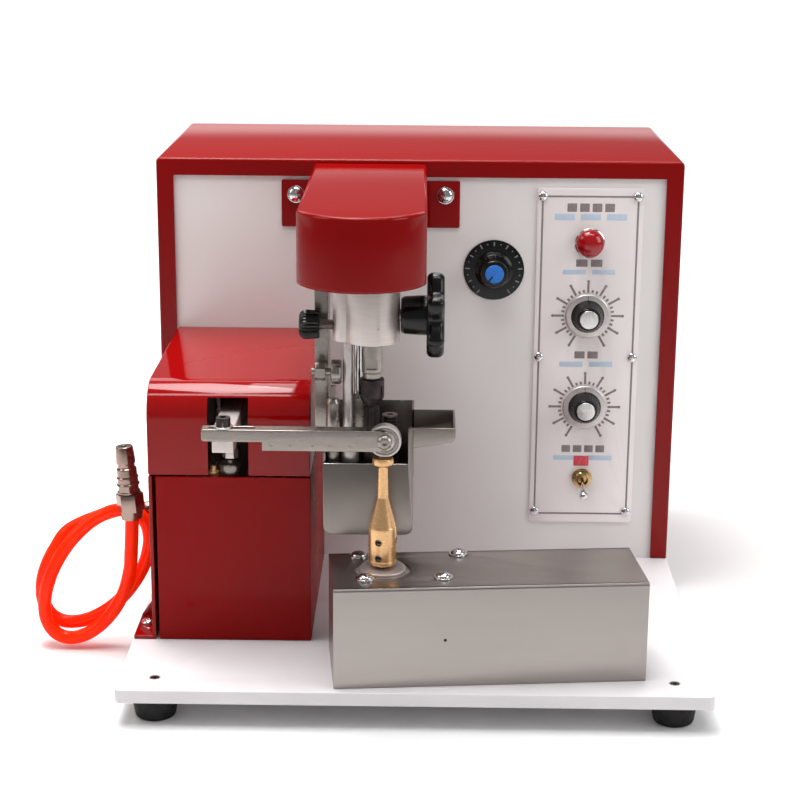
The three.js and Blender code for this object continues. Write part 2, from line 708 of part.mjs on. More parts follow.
function leftSidePlate() {
  const side = box(HOOD.left, HOOD.left + HOOD.wall, back(HOOD.front), boxRear, DECK, up(seamBottom));
  const tab = box(-199.5, HOOD.left + 1, back(HOOD.front), back(128), DECK, up(2.5));
  const web = new THREE.Shape();
  web.moveTo(-199.5, DECK);
  web.lineTo(HOOD.left + 1, DECK);
  web.lineTo(HOOD.left + 1, up(21));
  web.lineTo(HOOD.left - 0.5, up(21));
  web.lineTo(-199.5, up(3));
  const gusset = frontOutline(web, back(125.5), back(128));
  return cut(
    join(side, tab, gusset),
    bar('x', [port.y, port.z], HOOD.left - 1, HOOD.left + 5, 5.3, 14),
    bar('z', [-192.6, back(112)], DECK - 1, up(5), 2.6, 16),
  );
}

/** The front sheet below the seam, bent back into the right side. */
function lowerCover() {
  const { right, front, wall } = HOOD;
  return join(
    box(-181, right, back(front), back(front + 2), DECK + GAP, up(seamBottom)),
    box(right - wall, right, back(front), boxRear, DECK + GAP, up(seamBottom)),
  );
}

function upperCover() {
  const { left, right, front, top, bend } = HOOD;
  const wall = 1.5;
  const outline = (d, rear, low) => {
    const shape = new THREE.Shape();
    shape.moveTo(rear, low);
    shape.lineTo(rear, up(top) - d);
    shape.lineTo(back(front) + bend, up(top) - d);
    shape.absarc(back(front) + bend, up(top) - bend, bend - d, Math.PI / 2, Math.PI, false);
    shape.lineTo(back(front) + d, low);
    return shape;
  };
  const outer = sideOutline(outline(0, boxRear, up(seamTop)), left, right, 8);
  const inner = sideOutline(outline(wall, boxRear + 1, up(seamTop) - 1), left + wall, right - wall, 8);
  const window = box(-144.2, -116.2, back(front) - 1, back(front) + 8, up(seamTop) - 1, up(177));
  return cut(outer, inner, window);
}

function rocker() {
  const { left, right, bottom, top } = ROCKER;
  const lever = box(left, right, back(43.6), back(168), up(bottom), up(top));
  const boss = bar('z', [ROCKER.rodX, back(ROCKER.rodY)], up(132), up(bottom + 1), 5.6, 14);
  return cut(
    join(lever, boss),
    bar('x', [back(ROCKER.pivotY), up(ROCKER.pivotZ)], left - 1, right + 1, 4.3, 14),
    bar('z', [CLAMP_SCREW.x, back(CLAMP_SCREW.y)], up(bottom - 1), up(top + 1), 2.8, 14),
  );
}

function rockerBracket() {
  const ears = [[-146, -141], [-117, -112]].map(([x0, x1]) => box(x0, x1, back(148), back(172), DECK, up(170)));
  const sole = box(-146, -112, back(148), back(172), DECK, up(6));
  const pin = bar('x', [back(ROCKER.pivotY), up(ROCKER.pivotZ)], -143, -115, 4, 14);
  return join(...ears, sole, pin);
}

function pressArm() {
  const { left, right, front, top, step, thin, deep } = ARM;
  const face = new THREE.Shape();
  const middle = (top + deep) / 2;
  face.moveTo(left + 1, up(thin));
  face.lineTo(step, up(thin));
  face.lineTo(step, up(deep));
  face.lineTo(right, up(deep));
  face.absarc(right, up(middle), middle - deep, -Math.PI / 2, Math.PI / 2, false);
  face.lineTo(left + 1, up(top));
  face.lineTo(left, up(top - 1));
  face.lineTo(left, up(thin + 1));
  const web = frontOutline(face, back(front), back(front + 1.8), 12);
  const shelf = flatOutline(roundedRectangle(left, back(front), -34, back(52.2), 2), up(top - 1.7), up(top));
  const slot = flatOutline(
    roundedRectangle(-138.5, back(44.7), -107.5, back(50.1), 2.6), up(top - 3), up(top + 1),
  );
  const bore = bar('y', [BEARING.x, up(BEARING.z)], back(40), back(44), 3.9, 14);
  return cut(join(web, shelf), slot, bore);
}

function armClampScrew() {
  const centre = [CLAMP_SCREW.x, back(CLAMP_SCREW.y)];
  const screw = turned('z', centre, [
    [0, up(154)], [2.5, up(154)], [2.5, up(169.1)], [6.6, up(169.1)], [6.6, up(170.3)], [4.9, up(170.3)],
    [4.9, up(175.6)], [4.4, up(176.2)], [0, up(176.2)],
  ]);
  return cut(screw, bar('z', centre, up(173), up(178), 2.5, 6));
}

function bearingScrew() {
  const centre = [BEARING.x, up(BEARING.z)];
  const screw = turned('y', centre, [
    [0, back(38.6)], [3.4, back(38.6)], [5.1, back(40.2)], [5.1, back(41.2)], [3.6, back(41.2)],
    [3.6, back(51.3)], [6, back(51.3)], [6, back(53.5)], [0, back(53.5)],
  ], 16);
  return cut(screw, bar('y', centre, back(38), back(40.4), 1.7, 6));
}

const cylinderCentre = [ROCKER.rodX, back(ROCKER.rodY)];

function airCylinder() {
  const foot = box(-146, -106, back(92), back(120), DECK, up(6));
  const tube = turned('z', cylinderCentre, [
    [0, up(4)], [9.5, up(4)], [9.5, up(108)], [8, up(112)], [0, up(112)],
  ]);
  return cut(join(foot, tube), bar('z', cylinderCentre, up(58), up(113), 4.4, 14));
}

function pistonRod() {
  return turned('z', cylinderCentre, [
    [0, up(68)], [4, up(68)], [4, up(118.5)], [8.4, up(119.5)], [8.4, up(128.2)], [3.2, up(129)],
    [3.2, up(130.2)],
    [2, up(131.1)], [0, up(131.5)],
  ], 16);
}

piece('left_side_plate', leftSidePlate(), finish.redPaint());
piece('lower_cover', lowerCover(), finish.redPaint());
piece('upper_cover', upperCover(), finish.redPaint());
piece('rocker', rocker(), finish.aluminium());
piece('rocker_bracket', rockerBracket(), finish.steel());
piece('press_arm', pressArm(), finish.steel());
piece('arm_clamp_screw', armClampScrew(), finish.blackSteel());
piece('press_bearing', ring(
  'y', [BEARING.x, up(BEARING.z)], back(BEARING.front), back(BEARING.front + BEARING.width), BEARING.outer, 3.9, 14),
  finish.chrome());
piece('bearing_screw', bearingScrew(), finish.steel());
piece('air_cylinder', airCylinder(), finish.aluminium());
piece('piston_rod', pistonRod(), finish.steel());

// ---------------------------------------------------------------- feed wheel and its motor cover
const motorBay = new THREE.Group();
motorBay.position.set(COVER.x, back(COVER.y), DECK);
motorBay.rotation.z = THREE.MathUtils.degToRad(COVER.yaw);
machine.add(motorBay);
motorBay.updateMatrixWorld(true);

/** Where the feed wheel's axis and the motor's axis stand in the motor bay's own frame. */
const wheelLocal = motorBay.worldToLocal(new THREE.Vector3(WHEEL.x, back(WHEEL.y), DECK));
const wheelBay = [wheelLocal.x, wheelLocal.y];
const motorBayCentre = [45, wheelLocal.y];
const coverScrewSpots = [[-84.9, 28], [-83.1, -15.7], [-30.8, -15.9], [-16, 28.2]];
const lowerPulley = { radius: 12, bottom: 14, top: 27 };

function motorCover() {
  const { length, depth, height, wall } = COVER;
  const outer = box(-length / 2, length / 2, -depth / 2, depth / 2, GAP, height);
  const inner = box(
    -length / 2 + wall, length / 2 - wall, -depth / 2 + wall, depth / 2 - wall, -1, height - wall,
  );
  const mouth = flatOutline(roundedRectangle(
    wheelBay[0] - 19.2, wheelBay[1] - 16.8, wheelBay[0] + 19.2, wheelBay[1] + 16.8, 16.7), height - 4, height + 1, 6);
  const bores = coverScrewSpots.map((spot) => bar('z', spot, height - 4, height + 1, 2.8, 16));
  const peephole = bar('y', [-31, 33.2], -depth / 2 - 1, -depth / 2 + 3, 1.3, 12);
  return cut(outer, inner, mouth, peephole, ...bores);
}

function bearingHousing() {
  const { height } = COVER;
  const plate = box(-97, -6, -25, 33, height - 6.5, height - 1.8);
  const barrel = bar('z', wheelBay, 34, height - 5, 15);
  const disc = turned('z', wheelBay, [
    [0, height - 3], [15.5, height - 3], [16.1, height + 0.8], [15.3, height + 1.7], [0, height + 1.7],
  ], 16);
  const bores = coverScrewSpots.map((spot) => bar('z', spot, height - 8, height - 1, 2.8, 16));
  return cut(join(plate, barrel, disc), bar('z', wheelBay, 30, height + 4, 5), ...bores);
}

function wheelShaft() {
  const { radius, bottom, top } = lowerPulley;
  const centre = [WHEEL.x, back(WHEEL.y)];
  return turned('z', centre, [
    [0, up(8)], [4, up(8)], [4, up(bottom)], [radius + 2, up(bottom)], [radius + 2, up(bottom + 1.5)],
    [radius, up(bottom + 1.8)], [radius, up(top - 1.8)], [radius + 2, up(top - 1.5)], [radius + 2, up(top)],
    [4, up(top)], [4, up(98)], [0, up(98)],
  ]);
}

function feedWheel() {
  const centre = [WHEEL.x, back(WHEEL.y)];
  const body = turned('z', centre, [
    [0, up(74.6)], [9, up(74.6)], [9.6, up(75.2)], [9.6, up(100.8)], [9.2, up(101.5)], [3.8, up(121.5)],
    [3.3, up(143.2)], [5.8, up(144.2)], [7.2, up(145)], [7.2, up(148.4)], [6.6, up(149.2)], [0, up(149.2)],
  ], 14);
  const setScrews = [];
  for (const turn of [-107, -12]) {
    for (const h of [80.8, 92]) {
      const hole = bar('x', [0, up(h)], 3, 12, 2.4, 14);
      setScrews.push(hole.rotateZ(THREE.MathUtils.degToRad(turn)).translate(centre[0], centre[1], 0));
    }
  }
  return cut(body, bar('z', centre, up(72), up(99), 4.3), ...setScrews);
}

function lowerMotor() {
  const body = bar('z', motorBayCentre, 32, 66, 27);
  const legs = [-1, 1].map((side) => {
    const y = motorBayCentre[1] + side * 27.5;
    return box(30, 60, y - 2, y + 2, 2 * GAP, 40);
  });
  return cut(join(body, ...legs), bar('z', motorBayCentre, 31, 46, 5.4));
}

piece('motor_cover', motorCover(), finish.stainless(), motorBay);
piece('bearing_housing', bearingHousing(), finish.aluminium(), motorBay);
piece('lower_motor', lowerMotor(), finish.steel(), motorBay);
piece('lower_belt', belt(
  wheelBay, motorBayCentre, lowerPulley.radius, lowerPulley.bottom + 2, lowerPulley.top - 2), finish.rubber(), motorBay);
piece('lower_motor_pulley', motorPulley(
  motorBayCentre, 8, 44, lowerPulley.bottom, lowerPulley.top, lowerPulley.radius), finish.aluminium(), motorBay);
piece('wheel_shaft', wheelShaft(), finish.steel());
piece('feed_wheel', feedWheel(), finish.brass());

// ---------------------------------------------------------------- air hose
const HOSE_TURNS = 1.75;
const HOSE_POINTS_PER_TURN = 16;
const plugY = back(HOSE.port - HOSE.pitch * HOSE_TURNS - 7.5);

/** The hose leaves the port, runs round twice beside the box and rises into the plug's nut. */
function hoseRoute() {
  const points = [
    new THREE.Vector3(HOSE.out + 0.3, back(HOSE.port), up(HOSE.z + HOSE.halfHeight)),
    new THREE.Vector3(HOSE.out - 14, back(HOSE.port), up(HOSE.z + HOSE.halfHeight + 0.5)),
  ];
  const steps = Math.round(HOSE_TURNS * HOSE_POINTS_PER_TURN);
  for (let i = 1; i <= steps - 1; i += 1) {
    const turn = i / HOSE_POINTS_PER_TURN;
    const angle = Math.PI / 2 + 2 * Math.PI * turn;
    const late = Math.max(0, (turn - 1.4) / 0.29);
    const twist = 1 + HOSE.ripple * Math.cos(3 * Math.PI * turn + THREE.MathUtils.degToRad(HOSE.phase));
    const rise = HOSE.halfHeight * twist * Math.sin(angle + THREE.MathUtils.degToRad(HOSE.lean));
    points.push(new THREE.Vector3(
      HOSE.x - 6 * late + HOSE.halfWidth * twist * Math.cos(angle),
      back(HOSE.port - HOSE.pitch * turn - HOSE.forward * (HOSE.halfHeight - rise)),
      up(HOSE.z + rise),
    ));
  }
  points.push(new THREE.Vector3(HOSE_END.x - 1.5, plugY, up(HOSE_END.h - 25)));
  points.push(new THREE.Vector3(HOSE_END.x, plugY, up(HOSE_END.h - 0.4)));
  return new THREE.CatmullRomCurve3(points, false, 'centripetal');
}

function hoseTube() {
  const section = new THREE.Shape();
  const sides = 8;
  for (let i = 0; i < sides; i += 1) {
    const angle = (i * 2 * Math.PI) / sides;
    const point = [HOSE.radius * Math.cos(angle), HOSE.radius * Math.sin(angle)];
    if (i === 0) section.moveTo(...point);
    else section.lineTo(...point);
  }
  return new THREE.ExtrudeGeometry(section, { steps: 58, extrudePath: hoseRoute() });
}

function airPort() {
  const centre = [back(HOSE.port), port.z];
  const hexagon = bar('x', centre, -194, HOOD.left - GAP, 6.8, 6);
  const barb = ring('x', centre, HOSE.out + 0.6, -193, 5.6, 2.2, 14);
  const neck = bar('x', centre, -187, HOOD.left + 9, 5, 14);
  return join(hexagon, barb, neck);
}

/** Leans a fitting made about its own Z axis, and stands it on the hose's end. */
function onHoseEnd(fitting) {
  return fitting.rotateY(THREE.MathUtils.degToRad(-HOSE_END.lean)).translate(HOSE_END.x, plugY, up(HOSE_END.h));
}

function hoseNut() {
  const cone = ring('z', [0, 0], 0.4, 7, 8.6, 5.3, 16);
  const hexagon = cut(bar('z', [0, 0], 6, 19.6, 10.2, 6), bar('z', [0, 0], 5, 21, 5.3, 16));
  return onHoseEnd(join(cone, hexagon));
}

function airPlug() {
  return onHoseEnd(turned('z', [0, 0], [
    [2.2, 20], [8.4, 20], [8.4, 26.6], [7.6, 27.6], [7.6, 30.4], [8.2, 31.4], [7.3, 32.6],
    [7.2, 38], [6.2, 39],
    [6.2, 41], [7.1, 42.4], [6.4, 53.8], [5.9, 54.6], [2.2, 54.6], [2.2, 20],
  ], 18));
}

piece('air_port', airPort(), finish.nickel());
piece('air_hose', hoseTube(), finish.hose());
piece('hose_nut', hoseNut(), finish.nickel());
piece('air_plug', airPlug(), finish.nickel());

export default machine;
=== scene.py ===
"""Bench-top leather edge inking machine: the visual model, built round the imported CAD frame.

Lengths are in millimetres until a mesh is made. The operator stands at -Y."""
import math

import bmesh
import bpy
from mathutils import Matrix, Vector


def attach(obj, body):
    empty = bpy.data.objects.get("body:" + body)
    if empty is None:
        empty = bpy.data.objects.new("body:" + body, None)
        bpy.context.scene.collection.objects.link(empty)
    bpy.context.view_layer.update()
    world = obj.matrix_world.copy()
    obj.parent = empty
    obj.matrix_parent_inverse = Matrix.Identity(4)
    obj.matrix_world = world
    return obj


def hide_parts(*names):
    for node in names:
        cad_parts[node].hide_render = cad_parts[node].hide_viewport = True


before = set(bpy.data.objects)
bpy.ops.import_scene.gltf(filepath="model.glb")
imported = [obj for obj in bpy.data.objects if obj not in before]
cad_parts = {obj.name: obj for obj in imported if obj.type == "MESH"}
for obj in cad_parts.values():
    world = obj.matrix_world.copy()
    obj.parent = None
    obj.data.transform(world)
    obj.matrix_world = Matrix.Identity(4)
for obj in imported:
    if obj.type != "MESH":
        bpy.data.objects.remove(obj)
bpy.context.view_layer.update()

MM = 0.001
DECK = 26.5
FRONT = -240.5
TAU = 2 * math.pi


def up(h):
    """Height above the table of something h above the base plate."""
    return DECK + h


def back(d):
    """Y of something d behind the base plate's front edge."""
    return FRONT + d


# ---------------------------------------------------------------- camera
CAMERA_AT = Vector((1.5, -1368.7, 540.9))
CAMERA_LENS = 83.08
CAMERA_PITCH = 0.270
CAMERA_YAW = -0.011
CAMERA_ROLL = 0.0075


def make_camera():
    data = bpy.data.cameras.new("camera")
    data.lens = CAMERA_LENS
    data.sensor_width = 36
    data.clip_start = 0.05
    data.clip_end = 30
    camera = bpy.data.objects.new("camera", data)
    upright = Matrix(((1, 0, 0), (0, 0, -1), (0, 1, 0)))
    yaw = Matrix.Rotation(CAMERA_YAW, 3, "Z")
    pitch = Matrix.Rotation(CAMERA_PITCH, 3, "X")
    roll = Matrix.Rotation(CAMERA_ROLL, 3, "Z")
    view = roll @ pitch @ upright @ yaw
    axes = Matrix((view[0], -view[1], -view[2])).transposed()
    camera.matrix_world = Matrix.Translation(CAMERA_AT * MM) @ axes.to_4x4()
    bpy.context.scene.collection.objects.link(camera)
    bpy.context.scene.camera = camera


make_camera()


# ---------------------------------------------------------------- materials
class Nodes:
    """A material's node tree, with short ways to add what these materials need."""

    def __init__(self, name):
        self.material = bpy.data.materials.new(name)
        self.material.use_nodes = True
        self.tree = self.material.node_tree
        self.shader = self.tree.nodes["Principled BSDF"]
        place = self.add("ShaderNodeTexCoord")
        self.place = place.outputs["Object"]

    def add(self, kind, **settings):
        node = self.tree.nodes.new(kind)
        for key, value in settings.items():
            setattr(node, key, value)
        return node

    def link(self, output, target):
        self.tree.links.new(output, target)

    def set(self, **values):
        for key, value in values.items():
            self.shader.inputs[key.replace("_", " ")].default_value = value

    def stretched(self, scale):
        mapping = self.add("ShaderNodeMapping")
        mapping.inputs["Scale"].default_value = scale
        self.link(self.place, mapping.inputs["Vector"])
        return mapping.outputs["Vector"]

    def noise(self, scale, detail=3.0, stretch=None):
        node = self.add("ShaderNodeTexNoise")
        node.inputs["Scale"].default_value = scale
        node.inputs["Detail"].default_value = detail
        node.inputs["Roughness"].default_value = 0.55
        self.link(self.stretched(stretch) if stretch else self.place, node.inputs["Vector"])
        return node.outputs["Fac"]

    def ramp(self, value, stops):
        node = self.add("ShaderNodeValToRGB")
        elements = node.color_ramp.elements
        while len(elements) < len(stops):
            elements.new(0.5)
        for element, (position, colour) in zip(elements, stops):
            element.position = position
            element.color = (*colour, 1)
        self.link(value, node.inputs["Fac"])
        return node.outputs["Color"]

    def span(self, value, low, high):
        node = self.add("ShaderNodeMapRange")
        node.inputs["From Min"].default_value = 0.3
        node.inputs["From Max"].default_value = 0.7
        node.inputs["To Min"].default_value = low
        node.inputs["To Max"].default_value = high
        self.link(value, node.inputs["Value"])
        return node.outputs["Result"]

    def colour(self, value, dark, light):
        self.link(self.ramp(value, [(0.3, dark), (0.7, light)]), self.shader.inputs["Base Color"])

    def worn_colour(self, value, dark, light, bare, amount):
        """The colour, worn to bare metal along sharp outer edges."""
        base = self.ramp(value, [(0.3, dark), (0.7, light)])
        edge = self.add("ShaderNodeNewGeometry").outputs["Pointiness"]
        mask = self.ramp(edge, [(amount, (0, 0, 0)), (amount + 0.06, (1, 1, 1))])
        mix = self.add("ShaderNodeMix", data_type="RGBA")
        self.link(mask, mix.inputs["Factor"])
        self.link(base, mix.inputs["A"])
        mix.inputs["B"].default_value = (*bare, 1)
        self.link(mix.outputs["Result"], self.shader.inputs["Base Color"])

    def roughness(self, value, low, high):
        self.link(self.span(value, low, high), self.shader.inputs["Roughness"])

    def bump(self, value, strength, distance):
        node = self.add("ShaderNodeBump")
        node.inputs["Strength"].default_value = strength
        node.inputs["Distance"].default_value = distance
        self.link(value, node.inputs["Height"])
        self.link(node.outputs["Normal"], self.shader.inputs["Normal"])


def srgb(r, g, b):
    """A colour as a camera shows it, 0 to 255, in the linear values that shaders take."""
    def linear(c):
        c = c / 255
        return c / 12.92 if c <= 0.04045 else ((c + 0.055) / 1.055) ** 2.4
    return linear(r), linear(g), linear(b)


def surface(name, tint, rough, bump=None, **settings):
    """A material whose tint, roughness and bump each follow a noise of its own.

    Each is given as [(scale, detail, stretch), one end, other end], and a bump's ends are strength, depth."""
    m = Nodes(name)
    m.set(**{"Metallic": 0.0, **settings})
    spread, dark, light = tint
    m.colour(m.noise(*spread), srgb(*dark), srgb(*light))
    m.roughness(m.noise(*rough[0]), *rough[1:])
    if bump:
        m.bump(m.noise(*bump[0]), *bump[1:])
    return m.material


def red_paint(name="red_paint", coat=0.9, base=(142, 7, 8)):
    lighter = [value + 2 for value in base]
    return surface(name, [(4.0,), base, lighter], [(30.0,), 0.26, 0.34], [(160.0, 1), 0.02, 0.0001],
        Coat_Weight=coat, Coat_IOR=1.4, Coat_Roughness=0.06, Specular_IOR_Level=0.0)


def printed_ink(name, dark, light):
    return surface(name, [(600.0,), dark, light], [(300.0,), 0.45, 0.6], Specular_IOR_Level=0.25)


FAINT = (0.015, 0.00005)
TURNED = (3, 3, 3)


def metal(name, dark, light, rough, grain, scale, bare=1.0, bump=FAINT):
    """Bare metal with streaks: grain stretches the noise along the tool's or the brush's path."""
    return surface(name, [(scale, 4, grain), dark, light], [(scale * 1.7, 4, grain), *rough],
        [(scale * 4, 2, grain), *bump], Metallic=bare)


def black_steel():
    m = Nodes("black_steel")
    m.set(Metallic=0.85)
    m.worn_colour(m.noise(160.0, 5), srgb(52, 46, 45), srgb(70, 63, 61), srgb(150, 142, 138), 0.56)
    m.roughness(m.noise(200.0, 4), 0.32, 0.50)
    m.bump(m.noise(800.0, 3), 0.10, 0.0003)
    return m.material


def floor_white():
    """White, with a faint glow far behind the machine, so that it meets the white band of the room."""
    m = Nodes("floor_white")
    m.set(Metallic=0.0, Specular_IOR_Level=0.2, Emission_Color=(1, 1, 1, 1))
    m.colour(m.noise(2.0), (0.86, 0.86, 0.86), (0.88, 0.88, 0.88))
    m.roughness(m.noise(8.0), 0.6, 0.7)
    parts = m.add("ShaderNodeSeparateXYZ")
    m.link(m.place, parts.inputs["Vector"])
    m.link(graded(m.tree, parts.outputs["Y"], 0.6, 2.0, 0.0, 0.3), m.shader.inputs["Emission Strength"])
    return m.material


PRINT_GRAIN = (1, 1, 12)
LOOKS = {
    "red_paint": red_paint(),
    "white_plate": surface("plate_white", [(9.0, 5), (216, 212, 214), (226, 222, 224)],
                           [(60.0, 4), 0.36, 0.50], [(900.0, 2), 0.05, 0.0003], Specular_IOR_Level=0.35),
    "panel_grey": surface("panel_grey", [(5.0, 4), (224, 220, 218), (229, 225, 223)],
                          [(200.0, 4), 0.50, 0.64], [(1100.0, 3), 0.16, 0.0004], Specular_IOR_Level=0.3),
    "label_plate": surface("label_plate", [(14.0,), (236, 229, 228), (242, 235, 234)],
                           [(260.0, 3, PRINT_GRAIN), 0.34, 0.46], [(500.0, 2, PRINT_GRAIN), 0.04, 0.0002],
                           Metallic=0.15, Specular_IOR_Level=0.4),
    "steel": metal("steel", (150, 142, 135), (156, 148, 141), (0.26, 0.32), (0.4, 2, 2), 160.0, 0.92),
    "stainless": surface("stainless", [(30.0, 3, (0.3, 2, 2)), (158, 151, 147), (162, 155, 151)],
                         [(400.0, 3, (0.05, 3, 3)), 0.30, 0.35], [(1400.0, 2, (0.03, 2, 2)), 0.02, 0.00005],
                         Metallic=1.0),
    "chrome": metal("chrome", (205, 203, 203), (226, 224, 224), (0.06, 0.16), TURNED, 60.0,
                    bump=(0.05, 0.00005)),
    "aluminium": metal("aluminium", (206, 194, 189), (214, 203, 198), (0.36, 0.46), (1, 1, 10), 90.0, 0.75),
    "black_steel": black_steel(),
    "brass": metal("brass", (224, 176, 124), (230, 184, 132), (0.22, 0.28), (1, 1, 8), 160.0, 0.7),
    "nickel": metal("nickel", (148, 126, 116), (160, 139, 129), (0.14, 0.20), TURNED, 60.0, 0.95),
    "black_plastic": surface("black_plastic", [(40.0,), (8, 7, 7), (15, 14, 14)], [(120.0,), 0.16, 0.26],
                             [(700.0, 2), 0.03, 0.0001], Specular_IOR_Level=0.25, Coat_Weight=0.15,
                             Coat_Roughness=0.1),
    "board": surface("circuit_board", [(220.0, 4), (14, 62, 30), (24, 88, 44)], [(150.0,), 0.35, 0.5],
                     Coat_Weight=0.4, Coat_Roughness=0.2),
    "rubber": surface("rubber", [(90.0, 4), (20, 19, 19), (34, 32, 32)], [(300.0,), 0.62, 0.82],
                      [(900.0, 3), 0.22, 0.0004], Specular_IOR_Level=0.3),
    "red_lens": surface("red_lens", [(140.0, 2), (150, 2, 12), (160, 5, 16)], [(90.0, 2), 0.12, 0.2],
                        Coat_Weight=0.6, Coat_Roughness=0.05, Specular_IOR_Level=0.3),
    # The hose's faint emission is painted light: it glows a little so that its orange stays bright and full.
    "orange_hose": surface("orange_hose", [(50.0,), (248, 36, 3), (255, 46, 6)], [(90.0,), 0.20, 0.30],
                           [(260.0, 3), 0.05, 0.0004], Coat_Weight=0.4, Coat_IOR=1.4, Coat_Roughness=0.1,
                           Specular_IOR_Level=0.0, Emission_Strength=0.22,
                           Emission_Color=(*srgb(255, 44, 6), 1)),
}
INK_DARK = printed_ink("ink_dark", (130, 120, 118), (146, 136, 134))
INK_BLUE = printed_ink("ink_blue", (186, 203, 221), (196, 211, 227))
INK_WHITE = printed_ink("ink_white", (118, 120, 124), (138, 140, 144))
INK_RED = printed_ink("ink_red", (205, 70, 80), (225, 95, 104))
CAP_BLUE = printed_ink("cap_blue", (44, 112, 200), (62, 132, 222))
# Near black, for a small hole and a notch: painted shade where they would be dark inside.
HOLE_SHADE = printed_ink("painted_hole_shade", (14, 12, 12), (22, 19, 19))
DEEP_RED = red_paint("deep_red", 0.32, (138, 6, 7))
CABINET_RED = red_paint("cabinet_red", 0.5, (130, 8, 9))
SATIN = metal("satin", (196, 188, 186), (208, 201, 199), (0.30, 0.40), TURNED, 80.0, 0.8)
# The cup's sheet is a darker copy of the stainless, with broad soft blotches of tone: painted shade for the
# dark reflections on the cup.
CUP_SHADED_SHEET = metal("cup_sheet_painted_shade", (128, 120, 115), (150, 142, 136), (0.26, 0.36), (1, 1, 0.5), 14.0, 0.95)
# A pale copy of the cup's sheet metal: painted highlight along the cup's rims.
RIM_HIGHLIGHT = metal("painted_rim_highlight", (226, 219, 213), (234, 228, 222), (0.30, 0.38), (1, 1, 1), 60.0, 0.75)
GOLD = metal("gold", (176, 146, 96), (200, 172, 124), (0.14, 0.26), TURNED, 80.0, bump=(0.02, 0.00005))
CAP_WHITE = metal("cap_white", (215, 212, 210), (232, 229, 227), (0.22, 0.34), (12, 1, 1), 80.0,
    bump=(0.05, 0.00015))


# ---------------------------------------------------------------- shapes
def around(cx, cy, radius, degrees):
    angle = math.radians(degrees)
    return cx + radius * math.cos(angle), cy + radius * math.sin(angle)


def arc(cx, cy, radius, start, end, steps=10):
    """Points along an arc, angles in degrees, both ends included."""
    return [around(cx, cy, radius, start + (end - start) * i / steps) for i in range(steps + 1)]


def circle(cx, cy, radius, steps=48):
    return arc(cx, cy, radius, 0, 360 - 360 / steps, steps - 1)


def eased(here, to_last, to_next, r, steps):
    """Points round a corner, along a curve that leaves one side at r from it and joins the other at r."""
    start = here + to_last.normalized() * r
    end = here + to_next.normalized() * r
    return [tuple(start * (1 - t) ** 2 + here * 2 * t * (1 - t) + end * t ** 2)
        for t in (step / steps for step in range(steps + 1))]


def rounded(points, radius, steps=5):
    """A closed outline with each corner rounded."""
    radii = radius if isinstance(radius, (list, tuple)) else [radius] * len(points)
    out = []
    for i, (corner, r) in enumerate(zip(points, radii)):
        here = Vector(corner)
        to_last = Vector(points[i - 1]) - here
        to_next = Vector(points[(i + 1) % len(points)]) - here
        r = min(r, 0.49 * to_last.length, 0.49 * to_next.length)
        out += eased(here, to_last, to_next, r, steps) if r > 0.01 else [tuple(here)]
    return out


def rectangle(x0, y0, x1, y1, radius=0.0, steps=5):
    return rounded([(x0, y0), (x1, y0), (x1, y1), (x0, y1)], radius, steps)


PLANES = {
    "xy": lambda mid: Matrix(((1, 0, 0, 0), (0, 1, 0, 0), (0, 0, 1, mid), (0, 0, 0, 1))),
    "xz": lambda mid: Matrix(((1, 0, 0, 0), (0, 0, -1, mid), (0, 1, 0, 0), (0, 0, 0, 1))),
    "yz": lambda mid: Matrix(((0, 0, 1, mid), (1, 0, 0, 0), (0, 1, 0, 0), (0, 0, 0, 1))),
}


def evaluated(obj):
    """The shape of an object once its curve is filled and its modifiers have run."""
    mesh = bpy.data.meshes.new_from_object(obj.evaluated_get(bpy.context.evaluated_depsgraph_get()))
    shape = bmesh.new()
    shape.from_mesh(mesh)
    bpy.data.meshes.remove(mesh)
    return shape


def slab(loops, low, high, plane="xy", bevel=0.3, steps=2):
    """A flat piece with rounded edges: its outline, then any holes, from one position to another."""
    curve = bpy.data.curves.new("outline", "CURVE")
    curve.dimensions = "2D"
    curve.fill_mode = "BOTH"
    curve.extrude = (high - low) / 2 - bevel
    curve.bevel_depth = bevel
    curve.bevel_resolution = steps
    curve.offset = -bevel
    for loop in loops:
        spline = curve.splines.new("POLY")
        spline.points.add(len(loop) - 1)
        for point, (a, b) in zip(spline.points, loop):
            point.co = (a, b, 0, 1)
        spline.use_cyclic_u = True
    holder = bpy.data.objects.new("outline", curve)
    bpy.context.scene.collection.objects.link(holder)
    shape = evaluated(holder)
    bmesh.ops.remove_doubles(shape, verts=shape.verts, dist=1e-4)
    bmesh.ops.transform(shape, matrix=PLANES[plane]((low + high) / 2), verts=shape.verts)
    bmesh.ops.recalc_face_normals(shape, faces=shape.faces)
    bpy.data.objects.remove(holder)
    bpy.data.curves.remove(curve)
    return shape


def cutter(loops, low, high, plane="xy"):
    """A slab with sharp edges, for cutting with."""
    return slab(loops, low, high, plane, 0.01)


AXES = {
    "x": Matrix(((0, 0, 1, 0), (1, 0, 0, 0), (0, 1, 0, 0), (0, 0, 0, 1))),
    "y": Matrix(((0, 1, 0, 0), (0, 0, 1, 0), (1, 0, 0, 0), (0, 0, 0, 1))),
    "z": Matrix.Identity(4),
}


def along(shape, axis, centre):
    """Lays a piece made about Z along an axis: centre is where the axis crosses the other two planes."""
    a, b = centre
    spot = {"x": (0, a, b), "y": (a, 0, b), "z": (a, b, 0)}[axis]
    bmesh.ops.transform(shape, matrix=Matrix.Translation(spot) @ AXES[axis], verts=shape.verts)
    return shape


NEARLY_STRAIGHT = math.radians(172)


